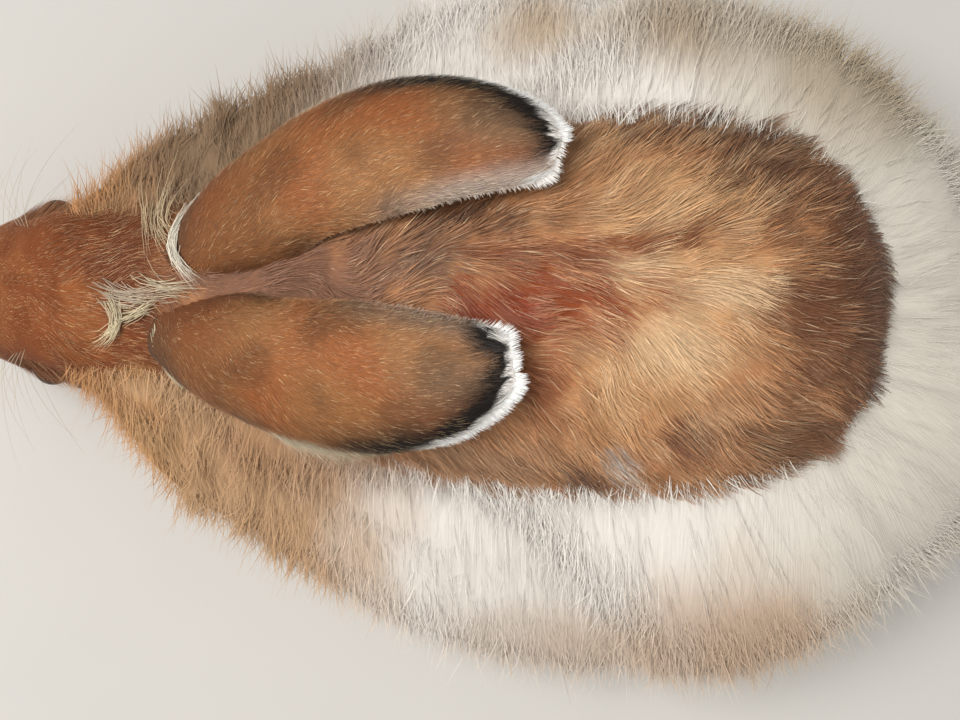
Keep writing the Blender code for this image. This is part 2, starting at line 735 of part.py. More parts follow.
def solve(target, others, operation):
    """Joins, cuts or intersects target with the others, applies it and removes the others. EXACT is slow on
    the many locks and leaves open edges where they cross, so the solver is MANIFOLD."""
    together = bpy.data.collections.new("tools")
    bpy.context.scene.collection.children.link(together)
    for other in others:
        together.objects.link(other)
    step = target.modifiers.new(operation, "BOOLEAN")
    step.operation = operation
    step.solver = "MANIFOLD"
    step.operand_type = "COLLECTION"
    step.collection = together
    graph = bpy.context.evaluated_depsgraph_get()
    made = bpy.data.meshes.new_from_object(target.evaluated_get(graph))
    target.modifiers.clear()
    target.data = made
    bpy.data.collections.remove(together)
    for other in others:
        bpy.data.objects.remove(other)
    keep_largest(target)


def keep_largest(target):
    """Drops every closed surface of the mesh but the one with the most inside it."""
    form = bmesh.new()
    form.from_mesh(target.data)
    bmesh.ops.triangulate(form, faces=form.faces)
    left, shells = set(form.verts), []
    while left:
        shell, front = set(), [left.pop()]
        while front:
            vertex = front.pop()
            shell.add(vertex)
            for edge in vertex.link_edges:
                other = edge.other_vert(vertex)
                if other in left:
                    left.discard(other)
                    front.append(other)
        shells.append(shell)

    def inside(shell):
        faces = {face for vertex in shell for face in vertex.link_faces}
        corners = [[v.co for v in face.verts] for face in faces]
        return abs(sum(a.dot(b.cross(c)) for a, b, c in corners))

    shells.sort(key=inside, reverse=True)
    for shell in shells[1:]:
        bmesh.ops.delete(form, geom=list(shell), context="VERTS")
    form.to_mesh(target.data)
    form.free()


def floor_block():
    """What lies under the floor."""
    return block("floor", [((0.0, 0.0, 0.0), (0.0, 0.0, 1.0))])


def finish(made, roughness=FUR_ROUGHNESS):
    """Gives a node its own material and smooth shading."""
    material = bpy.data.materials.new(made.name)
    material.use_nodes = True
    shader = material.node_tree.nodes["Principled BSDF"]
    shader.inputs["Base Color"].default_value = (*COLOURS[made.name], 1.0)
    shader.inputs["Roughness"].default_value = roughness
    shader.inputs["Metallic"].default_value = 0.0
    made.data.materials.clear()
    made.data.materials.append(material)
    made.data.shade_smooth()


def limb_tools(grown):
    """Solids a little larger than each limb, to cut room for them."""
    tools = []
    for mirror in (1.0, -1.0):
        for path in (FORELEG_PATH, HIND_FOOT_PATH):
            tools += [limb("tool", path, mirror, grown), *toes(path, mirror, grown)]
    return tools


def make_body():
    """Flesh, coat and locks in one solid, with room cut for the limbs, the ears and the floor."""
    body = body_core("body")
    solve(body, wool_locks(), "UNION")
    tools = [floor_block(), *limb_tools(GAP), *[ear(name, 1.5 * GAP) for name in EARS]]
    solve(body, tools, "DIFFERENCE")
    return body


def part_of(body, name, inside, outside=()):
    """The part of the body that lies inside some planes and outside other sets of planes."""
    made = body.copy()
    made.name = name
    made.data = body.data.copy()
    bpy.context.scene.collection.objects.link(made)
    solve(made, [region("part", inside)], "INTERSECT")
    if outside:
        solve(made, [region("tool", planes, GAP / 2) for planes in outside], "DIFFERENCE")
    return made


def make_head(body):
    """The head, with a lid round each eye, sockets for the eyes, and the lines of nose and mouth."""
    head = part_of(body, "head", [NECK_FRONT])
    solve(head, [lids(1.0), lids(-1.0)], "UNION")
    eyes = [eyeball("tool", side, GAP) for side in (1.0, -1.0)]
    solve(head, [*eyes, *face_grooves()], "DIFFERENCE")
    finish(head)


def make_trunk(body):
    """The neck, torso, haunches and tail, parted from the body by planes."""
    left, right = HAUNCH_PLANES, mirrored(HAUNCH_PLANES)
    finish(part_of(body, "neck", [flipped(NECK_FRONT), NECK_BACK]))
    finish(part_of(body, "torso", [flipped(NECK_BACK)], [left, right, TAIL_PLANES]))
    finish(part_of(body, "haunch_left", left, [TAIL_PLANES]))
    finish(part_of(body, "haunch_right", right, [TAIL_PLANES]))
    finish(part_of(body, "tail", TAIL_PLANES))


def make_limb(name, path, mirror):
    """A foreleg or a hind foot with its toes, flat where it rests on the floor."""
    made = limb(name, path, mirror)
    solve(made, toes(path, mirror), "UNION")
    solve(made, [floor_block()], "DIFFERENCE")
    finish(made)


def main():
    clear_scene()
    body = make_body()
    make_head(body)
    make_trunk(body)
    bpy.data.objects.remove(body)
    for side, mirror in (("left", 1.0), ("right", -1.0)):
        make_limb(f"foreleg_{side}", FORELEG_PATH, mirror)
        make_limb(f"hind_foot_{side}", HIND_FOOT_PATH, mirror)
        finish(ear(f"ear_{side}"))
        finish(eyeball(f"eye_{side}", mirror), EYE_ROUGHNESS)


main()
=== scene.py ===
"""The looks of a life-size still model of an angora rabbit: skin, eyes, claws, whiskers and coat.

The animal crouches with its nose along -Y and its ears laid back. Its back is plucked short and golden, and
long pale wool streams out round it. Places and sizes are in millimetres until a mesh is made."""

import math

import bpy
import numpy as np
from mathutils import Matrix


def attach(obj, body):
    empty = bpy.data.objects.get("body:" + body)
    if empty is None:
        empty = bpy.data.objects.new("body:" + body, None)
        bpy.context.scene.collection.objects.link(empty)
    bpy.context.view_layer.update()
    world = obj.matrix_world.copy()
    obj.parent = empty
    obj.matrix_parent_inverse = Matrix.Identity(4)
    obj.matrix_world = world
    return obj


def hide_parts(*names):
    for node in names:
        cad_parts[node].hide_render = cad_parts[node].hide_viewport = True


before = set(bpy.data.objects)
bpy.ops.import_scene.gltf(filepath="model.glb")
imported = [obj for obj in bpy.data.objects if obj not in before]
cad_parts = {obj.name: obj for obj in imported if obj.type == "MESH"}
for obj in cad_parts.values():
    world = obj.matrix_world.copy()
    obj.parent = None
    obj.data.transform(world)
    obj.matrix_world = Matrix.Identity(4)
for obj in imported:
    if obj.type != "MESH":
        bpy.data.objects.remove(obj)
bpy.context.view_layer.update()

bl_info = {
    "name": "Angora rabbit looks",
    "version": (1, 0, 0),
    "blender": (4, 5, 0),
    "location": "3D View > Sidebar > Rabbit",
    "description": "Dresses the solid rabbit in skin, eyes, claws, whiskers, short coat and long wool",
    "category": "Object",
}

MM = 0.001
UP = np.array([0.0, 0.0, 1.0])

# The body's own shape, the same named sizes as its solids have
NOSE = np.array([-8.0, -203.0, 57.0])
POLL = np.array([-5.0, -104.0, 94.0])
HEAD_HALF_WIDTH = 33.5
HEAD_HALF_HEIGHT = 33.0
RUMP_Y = 156.0
BACK_HEIGHT = 158.0
HIP_HALF_WIDTH = 75.0
NOSE_CAP = 15.0
RUMP_CAP = 50.0
SQUARENESS = 2.25
# Head sections: share of the way from nose to poll, then half width, reach up and reach down as shares
HEAD_SECTIONS = (
    (0.00, 0.56, 0.46, 0.50),
    (0.10, 0.64, 0.56, 0.68),
    (0.20, 0.73, 0.70, 0.82),
    (0.34, 0.86, 0.89, 0.90),
    (0.48, 0.97, 1.00, 0.94),
    (0.66, 1.02, 1.02, 1.02),
    (0.84, 1.02, 0.96, 1.14),
    (1.00, 1.00, 0.90, 1.32),
)
# Trunk sections: share of the way from poll to rump, then middle height, half width, reach up and down
TRUNK_SECTIONS = (
    (0.092, 0.590, 0.55, 0.43, 0.82),
    (0.208, 0.575, 0.69, 0.62, 0.98),
    (0.362, 0.550, 0.83, 0.81, 1.02),
    (0.515, 0.525, 0.93, 0.94, 1.00),
    (0.669, 0.510, 0.99, 1.00, 0.96),
    (0.804, 0.490, 0.96, 0.92, 0.92),
    (0.900, 0.470, 0.84, 0.76, 0.84),
    (1.000, 0.450, 0.74, 0.60, 0.74),
)
# Swellings and hollows of the face: offset from the head's middle line, place, reach and height
FACE_FORMS = (
    ((27.0, -132.0, 68.0), 22.0, 4.0),
    ((22.0, -154.0, 108.0), 12.0, 2.5),
    ((33.0, -153.0, 88.0), 11.0, -3.0),
    ((15.0, -192.0, 55.0), 11.0, 3.5),
    ((0.0, -186.0, 36.0), 9.0, 2.5),
)
# The plucked back's half width at places along the body
SADDLE_HALF_WIDTH = (
    (-125.0, 27.0),
    (-80.0, 35.0),
    (-50.0, 49.0),
    (-20.0, 59.0),
    (10.0, 63.0),
    (45.0, 63.0),
    (74.0, 60.0),
    (100.0, 55.0),
    (118.0, 45.0),
    (130.0, 31.0),
    (137.0, 12.0),
    (140.0, -8.0),
)
# Length of the wool at places along the body, on the left side and on the right
WOOL_LENGTH = (
    (-148.0, 10.0, 9.0),
    (-138.0, 34.0, 28.0),
    (-120.0, 52.0, 42.0),
    (-100.0, 62.0, 50.0),
    (-60.0, 70.0, 57.0),
    (-20.0, 88.0, 76.0),
    (30.0, 93.0, 80.0),
    (60.0, 90.0, 64.0),
    (90.0, 76.0, 45.0),
    (120.0, 62.0, 38.0),
    (145.0, 72.0, 42.0),
)
# The dense wool under the strands reaches a share of their length, at places along the body
UNDER_WOOL = ((-140.0, 0.5), (-110.0, 0.72), (-70.0, 0.82), (-20.0, 0.85), (150.0, 0.85))
# Wool that would come lower than the second height is laid down, and ends over the first
FLOOR_CLEAR = 2.5
SETTLE_FROM = 16.0
# An eye's ball, its place along and round the head, how far it stands out, and the opening of its lids
EYE_RADIUS = 8.8
EYE_ALONG = 50.0
EYE_ANGLE = 14.0
EYE_STANDS_OUT = 5.5
EYE_SUNK = 1.6
LID_RADIUS = 7.6
LID_FLATTEN = 0.82
# The lids lie this far over the ball, and inside their opening the skin sinks this deep into it
LID_OVER = 0.9
SOCKET_DEPTH = 2.5
# Ends of the mouth's line and of the nostrils' lines: distance along the head and angle round it. The split
# of the lip runs below the nose from one distance to another
MOUTH_FRONT = (7.0, -90.0)
MOUTH_CORNER = (27.0, -28.0)
LIP_SPLIT = (1.5, 8.0)
NOSTRIL = ((1.2, -60.0), (3.6, 48.0))
# Half width of an ear, and its roll in degrees, at shares of its length
EAR_WIDTHS = ((0.0, 0.5), (0.15, 0.92), (0.35, 1.1), (0.6, 1.2), (0.8, 1.0), (1.0, 0.62))
EAR_ROLL = ((0.0, 125.0), (0.35, 64.0), (1.0, 46.0))
# Shares of the half width that the outer and the inner side keep towards the tip
EAR_OUTER = ((0.66, 1.0), (0.76, 0.985), (0.85, 0.86), (0.93, 0.58), (1.0, 0.0))
EAR_INNER = ((0.86, 1.0), (0.95, 0.93), (1.0, 0.7))
# Each ear: its root, its tip, how far its middle bows sideways and upwards, its roll outwards in degrees,
# and half its width where the widths' share is one
EARS = {
    "ear_left": ((9.0, -111.0, 119.0), (20.5, 15.0, 166.0), 9.0, 6.0, 10.0, 21.0),
    "ear_right": ((-15.0, -105.0, 119.0), (-47.5, 28.5, 152.0), -17.5, 8.0, -16.0, 20.2),
}
EAR_SKIN = 0.8
EAR_LENGTH = 134.0
# The skin of an ear ends this share of its length and width inside its coat
EAR_REACH = (0.975, 0.94)
# The limbs' paths: place, half width and half height
FORELEG_PATH = (
    ((30.0, -76.0, 40.0), 13.0, 13.0),
    ((27.0, -102.0, 23.0), 13.0, 12.5),
    ((24.0, -126.0, 12.0), 12.0, 11.5),
    ((22.5, -145.0, 9.5), 12.0, 10.0),
    ((21.5, -162.0, 7.5), 12.0, 8.5),
)
HIND_FOOT_PATH = (
    ((56.0, 104.0, 15.0), 10.0, 14.0),
    ((60.0, 70.0, 11.0), 13.0, 11.5),
    ((64.0, 20.0, 10.0), 15.0, 10.8),
    ((67.0, -22.0, 9.5), 15.5, 10.2),
    ((68.0, -48.0, 7.0), 14.0, 8.0),
)
# The coat stands this far over the skin of the limbs and of the toes, whose soles clear the floor
LIMB_COAT = 2.0
TOE_COAT = 1.0
SOLE_CLEAR = 0.6
TOE_COUNT = 4
TOE_LENGTH = 11.0
TOE_HALF_WIDTH = 4.0

# Tuft courses: shares of the length at which short, middling and long tufts have a section
SPIKE_SHARES = (0.0, 1.0)
SHORT_SHARES = (0.0, 0.5, 1.0)
WOOL_SHARES = (0.0, 0.36, 0.7, 1.0)
# Half width of a tuft at shares of its length, as a share of its widest
TUFT_OUTLINE = ((0.0, 0.7), (0.3, 1.0), (0.6, 0.8), (0.85, 0.45), (1.0, 0.05))
# Height of a tuft's ridge as a share of its half width, and how deep a short tuft's root lies in the skin
RIDGE = 0.45
ROOT_DEPTH = 0.6
# Size of a tuft's patch on the unwrap of the skin
PATCH = 0.003
# Slopes of the skin are taken this far inside its ends, where the caps close
END_MARGIN = 1.2
# Steps that fill a square evenly: the inverse of the plastic number, and the square of that
EVEN_STEPS = (0.7548776662466927, 0.5698402909980532)
# How many bundles and locks the strands of the wool gather in, and how many locks the fine wool
WOOL_BUNDLES = 110
WOOL_LOCKS = 1500
WISP_LOCKS = 1700
# Length of a wave in a strand of wool, number of hairs in an ear's fringe, and half the floor's width
WAVE_LENGTH = 40.0
FRINGE_COUNT = 4200
FLOOR_HALF = 3000.0
# Behind this place the rump's wool streams out like the spokes of a wheel, whose rim is counted at the radius
RUMP_TURN_Y = 95.0
RUMP_TURN_RADIUS = 100.0
# The wool is made in stretches, shoulders, flanks and rump, that meet at these places
FLANK_FROM = -20.0
FLANK_TO = 75.0


def linear(hexed):
    """A linear colour from sRGB hex: below 0.04045 a straight line, above it a power of 2.4."""
    parts = np.array([int(hexed[k : k + 2], 16) for k in (1, 3, 5)]) / 255.0
    return np.where(parts <= 0.04045, parts / 12.92, ((parts + 0.055) / 1.055) ** 2.4)


def colour_property(name, description, hexed):
    """A colour that the user can change, with its default from sRGB hex."""
    return bpy.props.FloatVectorProperty(
        name=name,
        description=description,
        subtype="COLOR",
        size=3,
        min=0.0,
        max=1.0,
        default=tuple(linear(hexed)),
    )


def count_property(name, description, count, least=1000):
    """A number of tufts that the user can change."""
    return bpy.props.IntProperty(name=name, description=description, default=count, min=least)


def length_property(name, description, metres):
    """A length that the user can change."""
    return bpy.props.FloatProperty(name=name, description=description, default=metres, unit="LENGTH")


class RabbitSizes(bpy.types.PropertyGroup):
    """Counts and sizes of the coat."""

    wool_count: count_property("Wool strands", "How many strands the long wool has", 5000)
    wisp_count: count_property("Fine wool", "How many fine strands lie over the wool", 88000)
    back_count: count_property("Back tufts", "How many tufts the plucked back has", 56000)
    head_count: count_property("Head tufts", "How many tufts the head has", 46000)
    ear_count: count_property("Ear tufts", "How many tufts each ear has", 16000, 500)
    foot_count: count_property("Foot tufts", "How many tufts each foot has", 1400, 100)
    wool_width: length_property("Wool width", "Width of a strand of wool", 0.0005)
    back_length: length_property("Back coat", "Length of the plucked back's coat", 0.013)
    head_length: length_property("Head coat", "Length of the coat behind the eyes", 0.0075)
    whisker_length: length_property("Whiskers", "Length of the longest whisker", 0.058)


class RabbitColours(bpy.types.PropertyGroup):
    """Colours of the coat, the eyes and the floor."""

    head: colour_property("Head", "Red brown fur of the head", "#7f4627")
    back: colour_property("Back", "Golden fur of the plucked back", "#bf865b")
    wool: colour_property("Wool", "White wool of the sides", "#e2dbd1")
    ear: colour_property("Ears", "Tan fur on the back of the ears", "#96643c")
    foot: colour_property("Feet", "Pale fawn fur of the feet", "#dcc6a8")
    iris: colour_property("Iris", "Brown of the eyes", "#3b2113")
    claw: colour_property("Claws", "Horn of the claws", "#6b5242")
    floor: colour_property("Floor", "Paper under the model", "#c9c5bf")


def unit(vectors):
    """The vectors at length one."""
    return vectors / np.maximum(np.linalg.norm(vectors, axis=-1, keepdims=True), 1e-9)


def ramp(low, high, value):
    """0 at low and before it, 1 from high on, and between them a smooth cubic: three times the share's
    square less twice its cube. With high below low it falls instead of rising."""
    share = np.clip((value - low) / (high - low), 0.0, 1.0)
    return share * share * (3.0 - 2.0 * share)


def read(pairs, at):
    """A value read from pairs of place and value, straight between them."""
    table = np.array(pairs)
    return np.interp(at, table[:, 0], table[:, 1])


def eased(places, values, at):
    """Values read between given places on cubic curves that pass through each of them."""
    places, values = np.asarray(places, float), np.asarray(values, float)
    rates = np.gradient(values, places, axis=0)
    at = np.clip(at, places[0], places[-1])
    left = np.clip(np.searchsorted(places, at, side="right") - 1, 0, len(places) - 2)
    span = places[left + 1] - places[left]
    share = (at - places[left]) / span
    if values.ndim > 1:
        span, share = span[..., None], share[..., None]
    rest = 1.0 - share
    return (
        values[left] * (1.0 + 2.0 * share) * rest**2
        + rates[left] * span * share * rest**2
        + values[left + 1] * share**2 * (3.0 - 2.0 * share)
        - rates[left + 1] * span * share**2 * rest
    )


def curve(pairs, at):
    """A value read from pairs of place and value, on a smooth curve through them."""
    return eased(*np.array(pairs).T, at)


def turns(sides):
    """Angles that go once round in even steps."""
    return np.linspace(0.0, 2.0 * np.pi, sides, endpoint=False)


def mirrored(degrees, mirror):
    """An angle round the head in radians, and on the right side its mirror image."""
    angle = np.radians(degrees)
    return angle if mirror > 0 else math.pi - angle


def spread_evenly(count, jitter=(0.0, 0.0)):
    """Two rows of numbers between 0 and 1 that together fill a square evenly, each moved by a jitter."""
    steps = np.arange(count)
    return [np.mod(0.5 + steps * step + moved, 1.0) for step, moved in zip(EVEN_STEPS, jitter)]


def some(rng, chance, count):
    """True for a random share of the tufts."""
    return rng.uniform(0.0, 1.0, count) < chance


def waves(points, size, seed):
    """Smooth noise between about -1 and 1: seven plane sine waves of about that size, in millimetres, in
    seeded directions, summed and divided by 2.6."""
    rng = np.random.default_rng(seed)
    total = 0.0
    for way in unit(rng.normal(size=(7, points.shape[-1]))):
        pitch = size * rng.uniform(0.7, 1.5)
        total = total + np.sin(points @ way * (2.0 * np.pi / pitch) + rng.uniform(0.0, 2.0 * np.pi))
    return total / 2.6


def body_sections():
    """Middle points of the body's sections from nose to rump, with half width, reach up and reach down."""
    rows = []
    for share, wide, up, down in HEAD_SECTIONS:
        sizes = (wide * HEAD_HALF_WIDTH, up * HEAD_HALF_HEIGHT, down * HEAD_HALF_HEIGHT)
        rows.append((*(NOSE + (POLL - NOSE) * share), *sizes))
    for share, middle, wide, up, down in TRUNK_SECTIONS:
        place = (POLL[0] * max(0.0, 1.0 - 3.0 * share), POLL[1] + (RUMP_Y - POLL[1]) * share)
        sizes = (wide * HIP_HALF_WIDTH, up * BACK_HEIGHT / 2, down * BACK_HEIGHT / 2)
        rows.append((*place, middle * BACK_HEIGHT, *sizes))
    return np.array(rows)


SECTIONS = body_sections()
ALONG = np.concatenate([[0.0], np.cumsum(np.linalg.norm(np.diff(SECTIONS[:, :3], axis=0), axis=1))])
BODY_LENGTH = ALONG[-1]


def flesh(along, angle):
    """A superellipse carried along the middle line: along runs from the nose, and angle from the left side
    over the back. Round caps close the nose and the rump."""
    row = eased(ALONG, SECTIONS, along)
    ahead = eased(ALONG, SECTIONS, np.minimum(along + 2.0, BODY_LENGTH))[..., :3]
    behind = eased(ALONG, SECTIONS, np.maximum(along - 2.0, 0.0))[..., :3]
    heading = unit(ahead - behind)
    side = unit(np.cross(heading, UP))
    rise_way = unit(np.cross(side, heading))
    nose = np.clip(along / NOSE_CAP, 0.0, 1.0)
    rump = np.clip((BODY_LENGTH - along) / RUMP_CAP, 0.0, 1.0)
    cap = np.sqrt(1.0 - (1.0 - nose) ** 2) * np.sqrt(1.0 - (1.0 - rump) ** 2)
    power = 2.0 / SQUARENESS
    across = np.sign(np.cos(angle)) * np.abs(np.cos(angle)) ** power
    rise = np.sign(np.sin(angle)) * np.abs(np.sin(angle)) ** power
    tall = np.where(rise > 0, row[..., 4], row[..., 5])
    sideways = side * (row[..., 3] * cap * across)[..., None]
    return row[..., :3] + sideways + rise_way * (tall * cap * rise)[..., None]


def slopes(along, angle, surface=flesh):
    """A surface's directions along the body and round it, not scaled to one."""
    near = np.clip(along, END_MARGIN, BODY_LENGTH - END_MARGIN)
    down_body = surface(near + 0.5, angle) - surface(near - 0.5, angle)
    round_body = (surface(near, angle + 0.01) - surface(near, angle - 0.01)) / 0.02
    return down_body, round_body


def facing(along, angle):
    """The outward direction of the skin, across both of its slopes."""
    return unit(np.cross(*slopes(along, angle)))


def middle_x(y):
    """The sideways place of the body's middle line."""
    return np.interp(y, SECTIONS[:, 1], SECTIONS[:, 0])


def faced(points, outward):
    """The skin with the swellings and hollows of the face, each a bell curve of distance."""
    moved = points.copy()
    for (x, y, z), reach, height in FACE_FORMS:
        for mirror in (1.0, -1.0):
            centre = np.array([mirror * x + middle_x(y), y, z])
            near = np.exp(-np.sum((points - centre) ** 2, axis=-1) / reach**2)
            moved += outward * (height * near)[..., None]
    return moved


def skin_at(along, angle):
    """Points of the skin and their outward directions."""
    outward = facing(along, angle)
    return faced(flesh(along, angle), outward), outward


def wool_length(points):
    """How long the wool is that grows at the points, blended across the back from side to side."""
    rows = np.array(WOOL_LENGTH)
    left = ramp(-30.0, 30.0, points[..., 0])
    y = points[..., 1]
    return left * read(rows[:, :2], y) + (1.0 - left) * read(rows[:, ::2], y)


def wool_share(points, outward, soft=5.0):
    """1 where long wool grows, 0 on the face, the nape and the plucked back."""
    half = read(SADDLE_HALF_WIDTH, points[..., 1])
    beside = ramp(half, half + soft, np.abs(points[..., 0] - middle_x(points[..., 1])))
    under = ramp(0.1, -0.1, outward[..., 2])
    return ramp(-148.0, -126.0, points[..., 1]) * np.maximum(beside, under)


def wool_bends(points, outward):
    """The way in which the wool leaves the skin, and the way in which its tips hang. It streams out level
    from the body, a little rearwards, and its weight bends it down."""
    level = outward * [1.0, 1.0, 0.0]
    level[..., 1] += 0.1
    level = unit(level)
    level[..., 1] += 0.15
    level = unit(level)
    return unit(0.5 * outward + level), unit(0.8 * level + [0.0, 0.0, -0.72])


def settled(course):
    """The course with what would reach the floor laid down on it, by an exponential of its height."""
    span = SETTLE_FROM - FLOOR_CLEAR
    height = course[..., 2]
    low = FLOOR_CLEAR + span * np.exp(np.minimum(height - SETTLE_FROM, 0.0) / span)
    course[..., 2] = np.where(height < SETTLE_FROM, low, height)
    return course


def skin_spot(along, degrees, mirror):
    """One point of the head's skin and its outward direction. The angle is that on the left side."""
    point, outward = skin_at(np.array([along]), np.array([mirrored(degrees, mirror)]))
    return point[0], outward[0]


def eye_place(mirror):
    """An eye's middle and its directions outwards, ahead and up."""
    point, outward = skin_spot(EYE_ALONG, EYE_ANGLE, mirror)
    centre = point + outward * (EYE_STANDS_OUT - EYE_SUNK - EYE_RADIUS)
    ahead = unit(np.cross(outward, UP)) * mirror
    rise = np.cross(outward, ahead) * mirror
    return centre, outward, ahead, rise


def opening(points, mirror):
    """How far points are from the middle of an eye's opening, seen along its axis: 1 on the rim of the
    lids, an ellipse."""
    centre, outward, ahead, rise = eye_place(mirror)
    off = points - centre
    far = np.hypot(off @ ahead, off @ rise / LID_FLATTEN) / LID_RADIUS
    return np.where(off @ outward > -0.4 * EYE_RADIUS, far, 9.0)


def face_line(along, angle, mirror):
    """A line on the skin of the face, at places along it and angles in degrees."""
    return skin_at(np.asarray(along, float), mirrored(angle, mirror))[0]


def face_lines():
    """The lines of the nostrils, the mouth and the split lip, each with a depth and a half width."""
    share = np.linspace(0.0, 1.0, 40)
    lines = []
    for mirror in (1.0, -1.0):
        for (start, low), (end, high), power, depth, half in (
            (*NOSTRIL, 1.0, 2.2, 1.1),
            (MOUTH_FRONT, MOUTH_CORNER, 1.5, 1.8, 1.0),
        ):
            along, turn = start + (end - start) * share**power, low + (high - low) * share
            lines.append((face_line(along, turn, mirror), depth, half))
    split = LIP_SPLIT[0] + (LIP_SPLIT[1] - LIP_SPLIT[0]) * share
    lines.append((face_line(split, np.full(40, -90.0), 1.0), 1.6, 0.9))
    return lines


def nearest(points, line):
    """Distance from each point to the nearest of the line's points."""
    return np.sqrt(np.min(np.sum((points[:, None] - line[None]) ** 2, axis=-1), axis=1))


def folded(points, outward):
    """The face's folds: sockets and lids round the eyes, nostrils, lips and the line of the mouth. Skin
    inside an eye's opening sinks behind the ball, and round it the skin lies on the ball. A groove is a bell
    curve of the distance to its line, between two low swellings."""
    moved = points.copy()
    for mirror in (1.0, -1.0):
        centre = eye_place(mirror)[0]
        far = opening(points, mirror)
        inside = 1.0 - ramp(0.88, 1.0, far)
        target = (EYE_RADIUS + LID_OVER) * (1.0 - inside) + (EYE_RADIUS - SOCKET_DEPTH) * inside
        laid = centre + unit(points - centre) * target[:, None]
        weight = (1.0 - ramp(1.25, 2.1, far))[:, None]
        moved = moved * (1.0 - weight) + laid * weight
    front = np.flatnonzero(points[:, 1] < -160.0)
    for line, depth, half in face_lines():
        far = nearest(points[front], line)
        cut = -depth * np.exp(-((far / half) ** 2))
        swell = 0.45 * depth * np.exp(-(((far - 2.6 * half) / (1.3 * half)) ** 2))
        moved[front] += outward[front] * (cut + swell)[:, None]
    return moved


def mixed(low, high, share):
    """A colour between two, by share. The second may be sRGB hex."""
    high = linear(high) if isinstance(high, str) else high
    return low + (high - low) * np.asarray(share)[..., None]


def picked(name, shape):
    """The colour that the user picked, once for each place of an array of points of that shape."""
    return np.broadcast_to(np.array(getattr(bpy.context.scene.rabbit_colours, name)), (*shape[:-1], 3))


def patched(colour, points, patches, rough=0.35, size=12.0, edge=(0.45, 1.35)):
    """The colour with soft-edged patches over it. Each row holds a place across and along, its reach each
    way, its strength and its colour. Noise of the given size makes the edges ragged."""
    for k, (x, y, wide, long, strength, hexed) in enumerate(patches):
        far = ((points[..., 0] - x) / wide) ** 2 + ((points[..., 1] - y) / long) ** 2
        ragged = np.sqrt(far) + rough * waves(points, size, 40 + k)
        colour = mixed(colour, hexed, strength * (1.0 - ramp(*edge, ragged)))
    return colour


# Markings, and some rows of painted shade, read by patched: place across and along, reach each way, strength
# and colour
HEAD_PATCHES = (
    (-6.0, -185.0, 26.0, 26.0, 0.35, "#a8693c"),
    (-20.0, -126.0, 17.0, 13.0, 0.85, "#6a3a22"),
    (6.0, -140.0, 15.0, 12.0, 0.4, "#b06d3c"),
    (30.0, -128.0, 9.0, 14.0, 0.7, "#cc9c66"),
    (-42.0, -128.0, 9.0, 14.0, 0.6, "#a98257"),
    (2.0, -119.0, 9.0, 5.0, 0.5, "#5c2f1b"),
)
BACK_PATCHES = (
    (-8.0, -66.0, 16.0, 42.0, 0.9, "#87604c"),
    (-13.0, -18.0, 10.0, 16.0, 0.75, "#6c5241"),
    # Painted shadow under the right ear, on the nape
    (-26.0, -8.0, 5.0, 26.0, 0.85, "#42291d"),
    (20.0, 44.0, 22.0, 26.0, 0.6, "#d2a06e"),
    (0.0, 62.0, 24.0, 30.0, 0.8, "#d8a777"),
    (-31.0, 60.0, 10.0, 28.0, 0.75, "#d9ab7a"),
    (-50.0, 38.0, 11.0, 15.0, 0.7, "#cb9c6e"),
    (12.0, 58.0, 9.0, 15.0, 0.8, "#e9c296"),
    (-12.0, 45.0, 5.0, 9.0, 0.8, "#efca9c"),
    (-3.0, 79.0, 6.0, 17.0, 0.8, "#e8c298"),
    (34.0, 78.0, 8.0, 14.0, 0.6, "#c3936a"),
    (-2.0, 26.0, 12.0, 26.0, 0.95, "#93441f"),
    (3.0, 2.0, 13.0, 16.0, 0.95, "#8a3a1e"),
    (24.0, 16.0, 10.0, 12.0, 0.7, "#9c5431"),
    # Dark brown at the rear and its right side: the coat's own colour, made darker as painted shade where the
    # back curves down away from the light
    (-10.0, 124.0, 62.0, 29.0, 0.92, "#6b4530"),
    (-46.0, 90.0, 17.0, 22.0, 0.9, "#694833"),
    (4.0, 104.0, 12.0, 14.0, 0.7, "#73462f"),
    (41.0, 64.0, 8.0, 8.0, 0.85, "#6b4233"),
    # Dark brown at the rear on the left: the coat's own colour, made darker as painted shade where the back
    # curves away from the light
    (46.0, 98.0, 15.0, 18.0, 0.85, "#6f4c35"),
    (57.0, 32.0, 6.0, 9.0, 0.9, "#674a3a"),
    (50.0, -4.0, 9.0, 26.0, 0.7, "#b28c6c"),
    # Dark crease lines where the coat parts, painted as shade
    (-19.0, 52.0, 3.5, 20.0, 0.85, "#7d4527"),
    (-16.0, 16.0, 3.5, 28.0, 0.8, "#7b3f23"),
    (-60.0, 62.0, 8.0, 44.0, 0.85, "#5f412c"),
    (-44.0, 8.0, 9.0, 26.0, 0.5, "#a8754c"),
    (51.0, 43.0, 5.0, 5.0, 0.95, "#d8cfc6"),
)
WOOL_PATCHES = (
    (48.0, -62.0, 20.0, 46.0, 0.7, "#a97f5b"),
    (58.0, -136.0, 30.0, 26.0, 0.6, "#c89a66"),
    (-110.0, 24.0, 16.0, 20.0, 0.7, "#b3936c"),
    (-100.0, 72.0, 18.0, 24.0, 0.75, "#a08766"),
    (118.0, 96.0, 26.0, 40.0, 0.7, "#b58d68"),
    (132.0, 40.0, 20.0, 60.0, 0.6, "#b99b7e"),
    (-88.0, 130.0, 34.0, 40.0, 0.7, "#98805c"),
)


